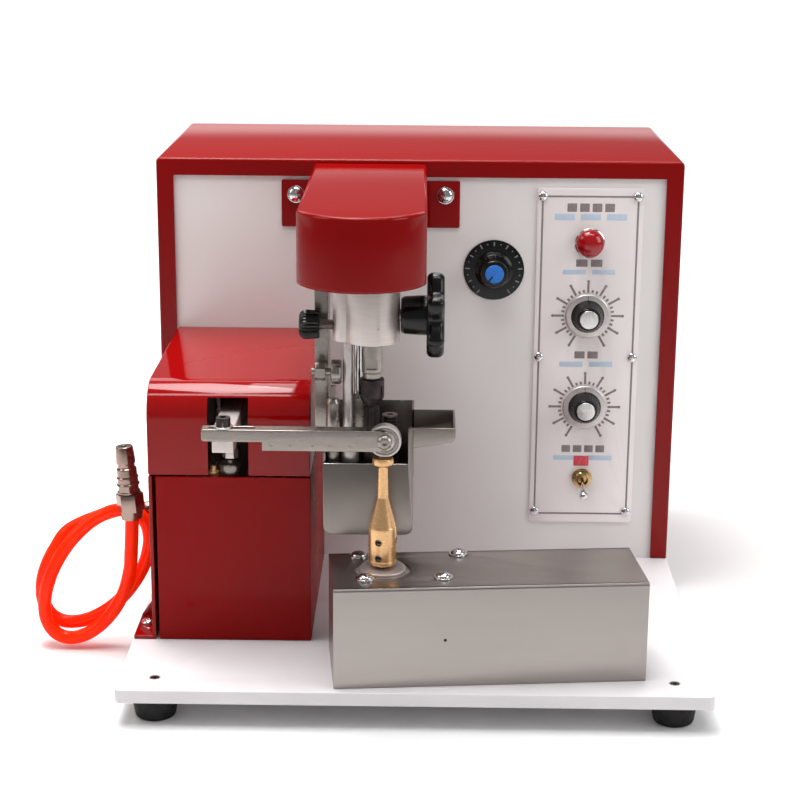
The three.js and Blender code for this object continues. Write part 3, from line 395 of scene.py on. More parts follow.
def soft_corners(profile, radius, steps=3):
    """An open or closed profile with its corners rounded, its end points kept."""
    out = [profile[0]]
    for before, corner, after in zip(profile, profile[1:], profile[2:]):
        here = Vector(corner)
        to_last = Vector(before) - here
        to_next = Vector(after) - here
        r = min(radius, 0.45 * to_last.length, 0.45 * to_next.length)
        sharp = r < 0.02 or to_last.angle(to_next, 0) > NEARLY_STRAIGHT
        out += [corner] if sharp else eased(here, to_last, to_next, r, steps)
    return [*out, profile[-1]]


def turned(axis, centre, profile, segments=48, soften=0.4, wave=None, datum=0.0):
    """A turned piece from (radius, position) pairs, positions counted from the datum.

    wave(angle, radius, position) can flute or knurl it."""
    points = [(radius, datum + t) for radius, t in profile]
    if soften:
        points = soft_corners(points, soften)
    shape = bmesh.new()
    rings = []
    for radius, t in points:
        if radius < 1e-6:
            rings.append([shape.verts.new((0, 0, t))])
            continue
        ring = []
        for i in range(segments):
            angle = TAU * i / segments
            r = wave(angle, radius, t) if wave else radius
            ring.append(shape.verts.new((r * math.cos(angle), r * math.sin(angle), t)))
        rings.append(ring)
    closed = points[0] == points[-1] and points[0][0] > 1e-6
    if closed:
        for vert in rings.pop():
            shape.verts.remove(vert)
        rings.append(rings[0])
    for low, high in zip(rings, rings[1:]):
        for i in range(segments):
            j = (i + 1) % segments
            quad = [low[i % len(low)], low[j % len(low)], high[j % len(high)], high[i % len(high)]]
            corners = list(dict.fromkeys(quad))
            if len(corners) > 2:
                shape.faces.new(corners)
    bmesh.ops.recalc_face_normals(shape, faces=shape.faces)
    return along(shape, axis, centre)


FLUTE_DEPTH = 0.55


def fluting(count, beyond):
    """Flutes cut into a turned piece wherever its radius is over a given one."""
    return lambda angle, r, t: r - FLUTE_DEPTH * (0.5 + 0.5 * math.cos(count * angle)) if r > beyond else r


def bar(axis, centre, low, high, radius, soften=0.4, segments=40):
    return turned(axis, centre, [(0, low), (radius, low), (radius, high), (0, high)], segments, soften)


def ring(axis, centre, low, high, radius, bore, soften=0.3, segments=48):
    profile = [(bore, low), (radius, low), (radius, high), (bore, high)]
    middle = ((bore + radius) / 2, low)
    return turned(axis, centre, [middle, *profile[1:], profile[0], middle], segments, soften)


def hexagon(axis, centre, low, high, across, bevel=0.5, turn=0.0):
    """A hexagonal nut or bar with its edges rounded."""
    radius = across / math.sqrt(3)
    outline = [around(0, 0, radius, 60 * i + turn) for i in range(6)]
    return along(slab([outline], low, high, "xy", bevel, 1), axis, centre)


def joined(*shapes):
    whole = bmesh.new()
    for shape in shapes:
        mesh = bpy.data.meshes.new("part")
        shape.to_mesh(mesh)
        whole.from_mesh(mesh)
        bpy.data.meshes.remove(mesh)
        shape.free()
    return whole


def moved(shape, x=0.0, y=0.0, z=0.0):
    bmesh.ops.translate(shape, vec=(x, y, z), verts=shape.verts)
    return shape


def spun(shape, angle, axis="Z", about=(0, 0, 0)):
    bmesh.ops.rotate(shape, cent=about, matrix=Matrix.Rotation(math.radians(angle), 3, axis),
        verts=shape.verts)
    return shape


def block(x0, x1, y0, y1, z0, z1, bevel=0.4):
    """A rectangular block with rounded edges."""
    shape = bmesh.new()
    bmesh.ops.create_cube(shape, size=1.0)
    bmesh.ops.scale(shape, vec=(x1 - x0, y1 - y0, z1 - z0), verts=shape.verts)
    moved(shape, (x0 + x1) / 2, (y0 + y1) / 2, (z0 + z1) / 2)
    if bevel:
        bmesh.ops.bevel(shape, geom=shape.edges[:], offset=bevel, segments=2, profile=0.5, affect="EDGES",
            clamp_overlap=True)
    return shape


def as_object(name, shape, scale=MM):
    mesh = bpy.data.meshes.new(name)
    bmesh.ops.scale(shape, vec=(scale,) * 3, verts=shape.verts)
    shape.to_mesh(mesh)
    shape.free()
    obj = bpy.data.objects.new(name, mesh)
    bpy.context.scene.collection.objects.link(obj)
    return obj


SHARP_ANGLE = math.radians(60)


def carved(shape, *cutters, bevel=0.0):
    """Cuts the shape with each cutter, then rounds the sharp edges if a bevel is given."""
    body = as_object("body", shape, 1.0)
    tools = [as_object("cutter", cutter, 1.0) for cutter in cutters]
    for tool in tools:
        cut = body.modifiers.new("cut", "BOOLEAN")
        cut.operation = "DIFFERENCE"
        cut.solver = "EXACT"
        cut.object = tool
    if bevel:
        edge = body.modifiers.new("edge", "BEVEL")
        edge.width = bevel
        edge.segments = 2
        edge.limit_method = "ANGLE"
        edge.angle_limit = SHARP_ANGLE
        edge.use_clamp_overlap = True
    out = evaluated(body)
    for obj in (body, *tools):
        old = obj.data
        bpy.data.objects.remove(obj)
        bpy.data.meshes.remove(old)
    return out


SMOOTH_ANGLE = math.radians(35)


def piece(name, shape, look, *nodes, body="machine", slot=None):
    """Turns a shape, or a list of them, into a piece that rides on a body and stands for CAD nodes."""
    obj = as_object(name, joined(*shape) if isinstance(shape, list) else shape)
    obj.data.shade_smooth()
    obj.data.set_sharp_from_angle(angle=SMOOTH_ANGLE)
    obj.data.materials.append(LOOKS[look] if isinstance(look, str) else look)
    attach(obj, body)
    if nodes:
        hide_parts(*nodes)
    return obj


STEPS_PER_SPAN = 8


def smooth_route(points):
    """A Catmull-Rom curve through the points."""
    knots = [Vector(p) for p in points]
    padded = [knots[0] * 2 - knots[1], *knots, knots[-1] * 2 - knots[-2]]
    route = []
    for a, b, c, d in zip(padded, padded[1:], padded[2:], padded[3:]):
        for step in range(STEPS_PER_SPAN):
            t = step / STEPS_PER_SPAN
            square, cube = 2 * a - 5 * b + 4 * c - d, 3 * b - a - 3 * c + d
            route.append(0.5 * ((2 * b) + (c - a) * t + square * t ** 2 + cube * t ** 3))
    route.append(knots[-1])
    return route


# ---------------------------------------------------------------- air hose
HOSE_RADIUS = 5
HOSE_CENTRE = (-236, 30.4)
HOSE_HALF = (38, 45.2)
HOSE_LEAN = math.radians(28)
HOSE_RIPPLE = 0.1
HOSE_PHASE = math.radians(-78)
HOSE_FORWARD = 0.03
HOSE_PORT = 152
HOSE_PITCH = 11.4
HOSE_OUT = -199
HOSE_TURNS = 1.75
PLUG = (-204, back(HOSE_PORT - HOSE_PITCH * HOSE_TURNS - 7.5), up(77.4))
PLUG_LEAN = 4.4


def hose_route():
    """Leaves the port, runs round the loop and rises into the plug's nut."""
    per_turn = 16
    cx, cz = HOSE_CENTRE
    points = [
        (HOSE_OUT + 0.3, back(HOSE_PORT), up(cz + HOSE_HALF[1])),
        (HOSE_OUT - 14, back(HOSE_PORT), up(cz + HOSE_HALF[1] + 0.5)),
    ]
    for i in range(1, round(HOSE_TURNS * per_turn)):
        turn = i / per_turn
        angle = math.pi / 2 + TAU * turn
        late = max(0.0, (turn - 1.4) / 0.29)
        twist = 1 + HOSE_RIPPLE * math.cos(3 * math.pi * turn + HOSE_PHASE)
        rise = HOSE_HALF[1] * twist * math.sin(angle + HOSE_LEAN)
        points.append((
            cx - 6 * late + HOSE_HALF[0] * twist * math.cos(angle),
            back(HOSE_PORT - HOSE_PITCH * turn - HOSE_FORWARD * (HOSE_HALF[1] - rise)),
            up(cz + rise),
        ))
    points.append((PLUG[0] - 1.5, PLUG[1], PLUG[2] - 25))
    points.append((PLUG[0], PLUG[1], PLUG[2] - 0.4))
    return smooth_route(points)


def make_hose():
    route = hose_route()
    curve = bpy.data.curves.new("air_hose_tube", "CURVE")
    curve.dimensions = "3D"
    curve.bevel_depth = HOSE_RADIUS * MM * 0.985
    curve.bevel_resolution = 8
    curve.use_fill_caps = True
    spline = curve.splines.new("POLY")
    spline.points.add(len(route) - 1)
    for point, spot in zip(spline.points, route):
        point.co = (*(spot * MM), 1)
    hose = bpy.data.objects.new("air_hose_tube", curve)
    bpy.context.scene.collection.objects.link(hose)
    curve.materials.append(LOOKS["orange_hose"])
    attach(hose, "machine")
    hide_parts("air_hose")
    length = sum((b - a).length for a, b in zip(route, route[1:])) * MM
    return hose, route[0] * MM, length


def on_hose_end(shape):
    """Leans a fitting made about its own Z axis, and stands it on the hose's end."""
    spun(shape, -PLUG_LEAN, "Y")
    return moved(shape, *PLUG)


def make_nut():
    cone = turned("z", (0, 0), [(5.3, 0.4), (7.6, 0.4), (8.5, 6.8), (5.3, 6.8), (5.3, 0.4)], 48, 0.4)
    hexagonal = hexagon("z", (0, 0), 6.2, 19.6, 17.4, 1.0, 0)
    return piece("hose_nut_body", on_hose_end(joined(cone, hexagonal)), "nickel", "hose_nut")


def make_plug():
    profile = [
        (2.2, 20), (8.3, 20), (8.3, 26.6), (7.5, 27.4), (7.5, 30.6), (8.1, 31.4), (7.2, 32.6), (7.2, 38),
        (6.1, 39), (6.1, 41), (7.0, 42.4), (6.6, 50), (6.2, 53.8), (5.7, 54.5), (2.2, 54.5), (2.2, 20),
    ]
    flats = [spun(block(7.1, 12, -9, 9, 21, 26, 0), 60 * i + 12) for i in range(6)]
    body = carved(turned("z", (0, 0), profile, 72, 0.4), *flats)
    return piece("air_plug_body", on_hose_end(body), "nickel", "air_plug")


hose, hose_exit, hose_length = make_hose()
hose_nut = make_nut()
air_plug = make_plug()

port_centre = (back(HOSE_PORT), up(HOSE_CENTRE[1] + HOSE_HALF[1]))
piece("air_port_body", [
    hexagon("x", port_centre, -193.8, -186.4, 12, 0.6, 30),
    ring("x", port_centre, HOSE_OUT + 0.6, -193, 5.5, 4.15, 0.4),
    bar("x", port_centre, -187, -177.2, 4.9, 0.3),
], "nickel", "air_port")


# ---------------------------------------------------------------- fasteners
def cross_screw(axis, centre, face, side, radius=5.4, height=3.4):
    """A domed head with a cross recess, standing on a face; side is +1 or -1 along the axis."""
    profile = [(0, -2.5), (radius * 0.42, -2.5), (radius * 0.42, 0), (radius, 0), (radius, 0.5)]
    for i in range(1, 9):
        angle = math.radians(90 * i / 8)
        profile.append((radius * math.cos(angle), 0.5 + (height - 0.5) * math.sin(angle)))
    profile[-1] = (0, height)
    head = turned("z", (0, 0), profile, 40, 0.15)
    slots = [block(-0.17 * radius * long, 0.17 * radius * long, -0.17 * radius / long, 0.17 * radius / long,
        height - 1.3, height + 1, 0) for long in (3.4, 1 / 3.4)]
    head = carved(head, *slots)
    if axis == "y":
        spun(head, 90 * -side, "X")
    elif side < 0:
        spun(head, 180, "X")
    a, b = centre
    spot = {"y": (a, face, b), "z": (a, b, face)}[axis]
    return moved(head, *spot)


def socket_screw(axis, centre, low, high, radius, socket):
    """A cylindrical head with a hexagon socket in its high end (or low end, if low > high)."""
    end = 1 if high > low else -1
    head = bar(axis, centre, min(low, high), max(low, high), radius, 0.5)
    reach = sorted((high + end, high - end * 2.2))
    return carved(head, hexagon(axis, centre, reach[0], reach[1], socket, 0.01))


# ---------------------------------------------------------------- base plate and feet
FOOT_SPOTS = {"front_left": (-175.5, -218), "front_right": (175.5, -218), "rear_left": (-175.5, 218),
    "rear_right": (175.5, 218)}


def countersunk(x, y):
    head = turned("z", (x, y), [(0, DECK - 4.5), (1.7, DECK - 4.5), (1.7, DECK - 2.2), (3.3, DECK - 0.6),
        (3.3, DECK - 0.45), (0, DECK - 0.45)], 32, 0.1)
    return carved(head, hexagon("z", (x, y), DECK - 2.2, DECK + 1, 2.6, 0.01))


def make_base():
    outline = rectangle(-200, FRONT, 200, -FRONT, 4.5, 8)
    holes = [circle(x, y, 3.6, 28) for x, y in FOOT_SPOTS.values()]
    piece("base_plate_top", slab([outline, *holes], 17, DECK, "xy", 0.7, 3), "white_plate", "base_plate")
    piece("foot_screws", [countersunk(x, y) for x, y in FOOT_SPOTS.values()], "black_steel")
    profile = [(0, 0), (9, 0), (9.6, 1.2), (12, 1.2), (12.4, 0), (13.2, 0), (13.9, 1.4), (16.1, 15.6),
        (16.1, 17), (0, 17)]
    for name, centre in FOOT_SPOTS.items():
        piece(f"foot_{name}_pad", turned("z", centre, profile, 56, 0.7), "rubber", f"foot_{name}")


make_base()


# ---------------------------------------------------------------- cabinet
SHEET = 1.6
SKIN = 2
HALF_WIDTH = 200
CABINET_FRONT = back(263)
CABINET_BACK = back(477)
CABINET_TOP = up(317.5)
PANEL = back(265.3)


SEAT = rectangle(-197.6, DECK + 0.1, 197.6, CABINET_TOP - 2.4, 1)


def make_cabinet():
    outer = slab([rounded([(-HALF_WIDTH, DECK), (HALF_WIDTH, DECK), (HALF_WIDTH, CABINET_TOP),
        (-HALF_WIDTH, CABINET_TOP)], [0, 0, 4, 4], 7)], CABINET_FRONT, CABINET_BACK, "xz", 2.0, 5)
    inside = block(SKIN - HALF_WIDTH, HALF_WIDTH - SKIN, CABINET_FRONT + SKIN, CABINET_BACK + 4, DECK - 5,
        CABINET_TOP - SKIN, 0)
    window = cutter([rectangle(-187, DECK - 9, 187, CABINET_TOP - 13, 1.2)], CABINET_FRONT - 5,
        CABINET_FRONT + 6, "xz")
    piece("cabinet_skin", carved(outer, inside, window), CABINET_RED, "cabinet_shell", slot="red_paint")
    seat = slab([SEAT], PANEL, PANEL + 2, "xz", 0.3)
    slot = block(-77, 2.6, PANEL - 3, PANEL + 5, up(266.7), up(303.8), 0)
    piece("front_sheet", carved(seat, slot), "panel_grey", "front_panel")


def make_back():
    face = CABINET_BACK - 3
    sheet = slab([SEAT], face - 2, face, "xz", 0.3)
    slots = []
    for i in range(6):
        for side in (-1, 1):
            z = up(152.5) + i * 20
            loop = rectangle(side * 70 - 40, z - 2.5, side * 70 + 40, z + 2.5, 2.4)
            slots.append(cutter([loop], face - 5, face + 3, "xz"))
    socket = block(123.8, 156.2, face - 5, face + 3, up(47.8), up(72.2), 0)
    piece("back_sheet", carved(sheet, *slots, socket), "panel_grey", "back_panel")
    flange = slab([rectangle(120, up(45), 160, up(75), 3)], face + 0.3, face + 2.6, "xz", 0.5)
    body = block(124.2, 155.8, face - 24, face + 1, up(48.2), up(71.8), 0.8)
    pins = [block(140 + dx - 1, 140 + dx + 1, face - 18, face - 4, up(60 + dz) - 2.2, up(60 + dz) + 2.2, 0.3)
        for dx, dz in ((-7, -2.5), (7, -2.5), (0, 3.5))]
    piece("inlet_body", [carved(part, inlet_mouth(face)) for part in (flange, body)], "black_plastic",
        "power_inlet")
    piece("inlet_pins", pins, "brass")
    screws = [cross_screw("y", (x, up(h)), face, 1, 4.6, 2.6) for x in (-180, 0, 180) for h in (20, 298)]
    piece("back_screws", screws, "chrome")


def inlet_mouth(face):
    loop = [(128, up(52)), (152, up(52)), (152, up(65)), (148, up(68.5)), (132, up(68.5)), (128, up(65))]
    return cutter([rounded(loop, 1)], face - 16, face + 4, "xz")


make_cabinet()
make_back()


# ---------------------------------------------------------------- controls
CONTROL_X = 130.3
CONTROL_FACE = PANEL - SHEET
LAMP_H, UPPER_KNOB_H, LOWER_KNOB_H, SWITCH_H = 255, 198.1, 125.3, 66.7
DIAL_AT = (57.4, 233.2)
DIAL_FACE = PANEL - 1.1


def printed(loops, face, thickness=0.12):
    """Ink on a plate, just proud of it."""
    return slab(loops, face - thickness, face - 0.02, "xz", 0.03, 1)


def tick(cx, cz, angle, inner, outer, half):
    a = math.radians(angle)
    along_tick = Vector((math.cos(a), math.sin(a)))
    across = Vector((-along_tick.y, along_tick.x)) * half
    centre = Vector((cx, cz))
    inside = centre + along_tick * inner
    outside = centre + along_tick * outer
    return [tuple(inside - across), tuple(outside - across), tuple(outside + across), tuple(inside + across)]


def scale_marks(h):
    """Eleven long marks with two short ones between each pair, from lower left round to lower right."""
    shapes = []
    for i in range(31):
        long = i % 3 == 0
        loop = tick(CONTROL_X, up(h), 240 - 10 * i, 18.2, 26.8 if long else 20.6, 0.85 if long else 0.8)
        shapes.append(printed([loop], CONTROL_FACE))
        if long:
            spot = circle(*around(CONTROL_X, up(h), 27, 240 - 10 * i), 1.15, 16)
            shapes.append(printed([spot], CONTROL_FACE, 0.1))
    return shapes


def label_bars(h, width, count, height):
    """A row of plain bars that stands for a caption."""
    gap = 0.25 * width / count
    each = (width - gap * (count - 1)) / count
    bars = []
    for i in range(count):
        x = CONTROL_X - width / 2 + i * (each + gap)
        bars.append(printed([rectangle(x, up(h) - height / 2, x + each, up(h) + height / 2, 0.5, 2)],
            CONTROL_FACE))
    return bars


def make_control_plate():
    holes = [circle(CONTROL_X, up(h), r) for h, r in (
        (LAMP_H, 8.2), (UPPER_KNOB_H, 4.2), (LOWER_KNOB_H, 4.2), (SWITCH_H, 6.5))]
    sheet = slab([rectangle(89.5, up(30), 170.3, up(297), 2.2), *holes], CONTROL_FACE, PANEL - 0.1, "xz",
        0.35)
    piece("control_plate_sheet", sheet, "label_plate", "control_plate")
    line = printed([rectangle(92.8, up(36.6), 166.8, up(291.4), 0.8, 2),
        rectangle(94.2, up(38), 165.4, up(290), 0.5, 2)[::-1]], CONTROL_FACE)
    marks = [*scale_marks(UPPER_KNOB_H), *scale_marks(LOWER_KNOB_H)]
    captions = [*label_bars(282.2, 36, 4, 6.4), *label_bars(239.4, 20, 2, 5.6), *label_bars(167, 18, 2, 5.6),
        *label_bars(91, 33.5, 4, 5.6)]
    piece("scale_marks", [line, *marks, *captions], INK_DARK, slot="label_plate")
    under = [*label_bars(275, 55, 3, 4.8), *label_bars(232.4, 40, 2, 3.6), *label_bars(159.6, 41, 2, 4.0),
        *label_bars(83.6, 46, 2, 3.8)]
    piece("caption_underlines", under, INK_BLUE, slot="label_plate")
    tag = slab([rectangle(CONTROL_X - 7, up(77), CONTROL_X + 4.8, up(85.2), 0.8)], CONTROL_FACE - 0.35,
        CONTROL_FACE - 0.14, "xz", 0.05)
    piece("switch_tag", tag, INK_RED, slot="label_plate")
    heads = [cross_screw("y", (x, up(h)), CONTROL_FACE, -1, 3.8, 2.8) for x in (93.6, 165.9)
        for h in (39, 165.2, 290.8)]
    piece("control_plate_screws", heads, "chrome")


def make_lamp():
    centre = (CONTROL_X, up(LAMP_H))
    bezel = turned("y", centre, [(5, -1.9), (10.4, -2.1), (11.6, -1.4), (11.6, -0.1), (8, -0.1), (8, 17.6),
        (5, 17.6), (5, -1.9)], 56, 0.3, datum=CONTROL_FACE)
    piece("lamp_ring", bezel, "chrome", "lamp_bezel")
    dome = [(10.8 * math.sin(math.radians(a)), -0.8 - 7.3 * math.cos(math.radians(a)))
        for a in range(0, 91, 6)]
    lens = turned("y", centre, [*dome, (10.8, 0), (0, 0)], 96, 0, datum=CONTROL_FACE - 2.3)
    piece("lamp_cap", lens, "red_lens", "lamp_lens")


def pointer_knob(centre, face, skirt, base, tip, height, flutes):
    """The dark body of a knob: a thin skirt round a fluted grip that narrows toward its face."""
    def fluted(angle, r, t):
        on_grip = face - height + 1.4 < t < face - 3.8
        return r - 0.4 * (0.5 + 0.5 * math.cos(flutes * angle)) if on_grip and r > tip - 0.5 else r

    profile = [(3, 13.8), (3, -1.2), (skirt - 0.6, -1.0), (skirt - 0.5, -2.2), (base + 0.4, -3.3)]
    for share in (i / 6 for i in range(7)):
        profile.append((base + (tip - base) * share, -3.9 - (height - 5.2) * share))
    profile += [(tip - 0.8, -height), (0, -height)]
    return turned("y", centre, profile, 180, 0.25, fluted, datum=face)


def make_speed_knob(name, h, body, node):
    centre = (CONTROL_X, up(h))
    face = CONTROL_FACE
    grip = pointer_knob(centre, face, 13.6, 12.3, 9.1, 15.0, 30)
    skirt = turned("y", centre, [(12.2, -1.0), (17.2, -1.0), (17.3, -1.9), (16.4, -2.6), (12.6, -3.1),
        (12.2, -1.0)], 96, 0.25, datum=face)
    cap = turned("y", centre, [(0, -14.4), (7.1, -14.4), (7.1, -15.1), (6.7, -15.4), (0, -15.45)], 48, 0.15,
        datum=face)
    pointer = block(CONTROL_X - 0.4, CONTROL_X + 0.4, face - 3.15, face - 2.6, up(h) + 13, up(h) + 16, 0.1)
    piece(f"{name}_grip", grip, "black_plastic", node, body=body)
    piece(f"{name}_skirt", skirt, SATIN, body=body, slot="aluminium")
    piece(f"{name}_cap", cap, CAP_WHITE, body=body, slot="chrome")
    piece(f"{name}_pointer", pointer, INK_DARK, body=body, slot="black_plastic")


def make_dial():
    x, h = DIAL_AT
    centre = (x, up(h))
    plate = ring("y", centre, DIAL_FACE, PANEL - 0.1, 23.3, 4.3, 0.25, 80)
    piece("dial_face", plate, "black_plastic", "dial_plate")
    marks = [printed([tick(x, up(h), 235 - 29 * i, 18.6, 21.6 if i % 2 else 22, 0.5)], DIAL_FACE)
        for i in range(11)]
    marks += [printed([circle(*around(x, up(h), 20.3, 220.5 - 29 * i), 0.55, 12)], DIAL_FACE)
        for i in range(10)]
    piece("dial_marks", marks, INK_WHITE, slot="black_plastic")
    face = DIAL_FACE
    grip = pointer_knob(centre, face, 15, 12.2, 10.5, 16.5, 24)
    piece("dial_grip", grip, "black_plastic", "dial_knob", body="dial")
    cap = turned("y", centre, [(0, -16), (7.1, -16), (7.1, -16.6), (6.7, -16.9), (0, -16.95)], 48, 0.12,
        datum=face)
    piece("dial_cap", cap, CAP_BLUE, body="dial", slot="black_plastic")
    # The pointer notch is a thin dark plate on the cap: painted shade for the recess.
    notch = spun(block(x + 2.4, x + 7.2, face - 17.0, face - 16.6, up(h) - 0.6, up(h) + 0.6, 0.1), 128, "Y",
        (x, 0, up(h)))
    piece("dial_pointer", notch, HOLE_SHADE, body="dial", slot="black_plastic")


def make_switch():
    centre = (CONTROL_X, up(SWITCH_H))
    nut = hexagon("y", centre, CONTROL_FACE - 3.3, CONTROL_FACE - 0.1, 14, 0.5, 30)
    washer = ring("y", centre, CONTROL_FACE - 0.55, CONTROL_FACE - 0.05, 7.9, 6.1, 0.1)
    ridges = [(5.8 if i % 2 else 6.2, -3 - 0.4 * i) for i in range(7)]
    thread = turned("y", centre, [(6.2, 4.6), *ridges, (5.7, -6.2), (4.4, -6.4), (2.8, -0.4), (2.8, 4.6),
        (6.2, 4.6)], 48, 0.12, datum=CONTROL_FACE)
    case = block(CONTROL_X - 8.8, CONTROL_X + 8.8, PANEL + 2.6, PANEL + 21.6, up(59.4), up(74), 0.6)
    piece("switch_bushing", [nut, washer, thread], GOLD, "switch_body", slot="chrome")
    piece("switch_case", case, "black_plastic")
    stem = turned("z", (0, 0), [(0, -1.2), (1.2, -1.2), (1.5, 4), (2.2, 12), (2.4, 16.5), (3.2, 18.2),
        (3.45, 20), (2.9, 22), (1.5, 23), (0, 23.1)], 36, 0.6)
    spun(stem, 90 + 22, "X")
    moved(stem, CONTROL_X, CONTROL_FACE - 6.5 + 3, up(SWITCH_H))
    piece("switch_toggle", stem, "chrome", "switch_lever", body="toggle")


make_control_plate()
make_lamp()
make_speed_knob("upper_knob", UPPER_KNOB_H, "upper_speed", "speed_knob_upper")
make_speed_knob("lower_knob", LOWER_KNOB_H, "lower_speed", "speed_knob_lower")
make_dial()
make_switch()


# ---------------------------------------------------------------- head
HEAD_X = -37.2
HEAD_HALF = 42.4
HEAD_CORNER = 52
HEAD_NOSE = 22
HEAD_LOW = 265
HEAD_TOP = 314.5
TAIL_TOP = 304
WING_SCREWS = (-93.9, 19.5)
SPINDLE = (-30.7, back(72))


def head_outline(grow, rear):
    """Straight sides and a round nose."""
    half = HEAD_HALF + grow
    sagitta = HEAD_CORNER - HEAD_NOSE
    radius = (HEAD_HALF ** 2 + sagitta ** 2) / (2 * sagitta) + grow
    centre = back(HEAD_NOSE) - grow + radius
    swing = math.degrees(math.asin(half / radius))
    nose = arc(HEAD_X, centre, radius, -90 - swing, -90 + swing, 28)
    return [(HEAD_X - half, rear), *nose, (HEAD_X + half, rear)]


def make_head():
    rear = PANEL - 0.3
    front_y = CABINET_FRONT - 0.35
    shell = slab([head_outline(0, front_y)], up(HEAD_LOW), up(HEAD_TOP), "xy", 2.4, 6)
    tail = block(HEAD_X - HEAD_HALF, HEAD_X + HEAD_HALF, front_y - 6, rear, up(HEAD_LOW), up(TAIL_TOP), 0.3)
    inner = cutter([head_outline(-SHEET, rear + 4)], up(HEAD_LOW) - 5, up(HEAD_TOP - SHEET), "xy")
    tail_inner = block(HEAD_X - HEAD_HALF + SHEET, HEAD_X + HEAD_HALF - SHEET, front_y - 9, rear + 3,
        up(HEAD_LOW) - 5, up(TAIL_TOP - SHEET), 0)
    wings = slab([rectangle(HEAD_X - 67.8, up(265.6), HEAD_X + 67.8, up(301.5), 1.5)], rear - 1.5, rear, "xz",
        0.35)
    wing_gap = block(HEAD_X - HEAD_HALF + SHEET, HEAD_X + HEAD_HALF - SHEET, rear - 4, rear + 3, up(260),
        up(TAIL_TOP - SHEET), 0)
    piece("head_shell", [carved(shell, inner), carved(tail, tail_inner), carved(wings, wing_gap)],
        CABINET_RED, "head_cover", slot="red_paint")
    heads = [cross_screw("y", (x, up(290.5)), rear - 1.5, -1, 5.9, 3.6) for x in WING_SCREWS]
    washers = [ring("y", (x, up(290.5)), rear - 2.0, rear - 1.45, 6.6, 3, 0.15) for x in WING_SCREWS]
    piece("head_screws", [*heads, *washers], "chrome")


def make_housing():
    low, high = up(223.3), up(266.6)
    loop_angle = math.degrees(math.asin(7.5 / 18.7))
    cx, cy = SPINDLE
    lobe = arc(-49.5, cy, 7.5, 90, 270, 14)
    barrel = arc(cx, cy, 18.7, 180 + loop_angle, 540 - loop_angle, 48)
    holes = [circle(-46.8, cy, 3.9), circle(-40.4, back(83), 2.85, 32), circle(cx, cy, 8.4)]
    body = slab([[*lobe, *barrel], *holes], low, high, "xy", 0.8, 3)
    knob_bore = bar("x", (cy, up(234)), -62, -51.5, 4.6, 0)
    star_bore = bar("x", (cy, up(241)), -20.6, -8, 4.4, 0)
    dimple = bar("y", (cx + 4.6, up(235.4)), cy - 22, cy - 17.6, 1.0, 0, 16)
    piece("spindle_block", carved(body, knob_bore, star_bore, dimple), "aluminium", "spindle_housing")

def make_upper_spindle():
    profile = [(6.05, 197.7), (6.05, 201.4), (7.05, 202.2), (7.1, 278.4), (5.9, 278.6), (5.9, 299.9),
        (0, 300)]
    cx, cy = SPINDLE
    shaft = turned("z", SPINDLE, [(0, 214), (4.35, 214), (4.35, 197.7), *profile], 56, 0.3, datum=DECK)
    flats = [cutter([rectangle(cx - 3.9, up(204.6), cx + 3.9, up(211.9), 0.8)],
        *sorted((cy + side * 5.4, cy + side * 9)), "xz") for side in (-1, 1)]
    piece("spindle_shaft", carved(shaft, *flats), "steel", "upper_spindle", body="spindle")
    nut = turned("z", SPINDLE, [(4.35, 179.5), (5.7, 179.5), (8.2, 184.6), (8.4, 186), (8.4, 197.2),
        (4.35, 197.2), (4.35, 179.5)], 64, 0.5, datum=DECK)
    notches = [spun(block(cx + 7.6, cx + 10, cy - 1.2, cy + 1.2, up(186.5), up(193), 0), 120 * i + 200, "Z",
        (cx, cy, 0)) for i in range(3)]
    piece("spindle_nut", carved(nut, *notches), "black_steel", "collet_nut", body="spindle")
    roller = turned("z", SPINDLE, [(0, 104), (5.1, 104), (5.35, 104.6), (5.35, 177.2), (5.0, 177.8),
        (4, 177.8), (4, 211.9), (0, 211.9)], 128, 0.2, fluting(16, 4.8), datum=DECK)
    piece("fluted_roller", roller, "black_steel", "ink_roller", body="spindle")


def make_clamp_knob():
    centre = (SPINDLE[1], up(234))
    grip = turned("x", centre, [(0, -79.5), (6.6, -79.4), (8.3, -78.6), (9.7, -76.4), (9.9, -74),
        (9.3, -66.6), (8.5, -65.6), (0, -65.6)], 156, 0.4, fluting(26, 8.4))
    thread = [(3.5 if i % 2 else 3.1, -65.9 + 0.5 * i) for i in range(28)]
    stud = turned("x", centre, [(0, -65.9), *thread, (0, -52)], 32, 0)
    piece("clamp_grip", grip, "black_plastic", "clamp_knob", body="clamp")
    piece("clamp_stud", stud, "steel", body="clamp")


def make_star_knob():
    cy = SPINDLE[1]
    centre = (cy, up(241))
    outline = []
    for i in range(120):
        angle = TAU * i / 120
        radius = 24.2 + 4.8 * math.cos(6 * (angle - math.pi / 2))
        outline.append((cy + radius * math.cos(angle), up(241) + radius * math.sin(angle)))
    head = slab([outline], 5.7, 17.5, "yz", 4.2, 6)
    hub = turned("x", centre, [(0, -11.45), (11.3, -11.45), (12.6, -9), (13.2, 0), (13.4, 9), (0, 9)], 56,
        0.8)
    boss = turned("x", centre, [(0, 16), (13, 16), (12, 17.4), (0, 17.55)], 48, 0.8)
    stud = bar("x", centre, -20.3, -10.8, 4.0, 0.4)
    piece("star_grip", [head, hub, boss], "black_plastic", "star_knob", body="star")
    piece("star_stud", stud, "steel", body="star")


make_head()
make_housing()
make_upper_spindle()
make_clamp_knob()
make_star_knob()


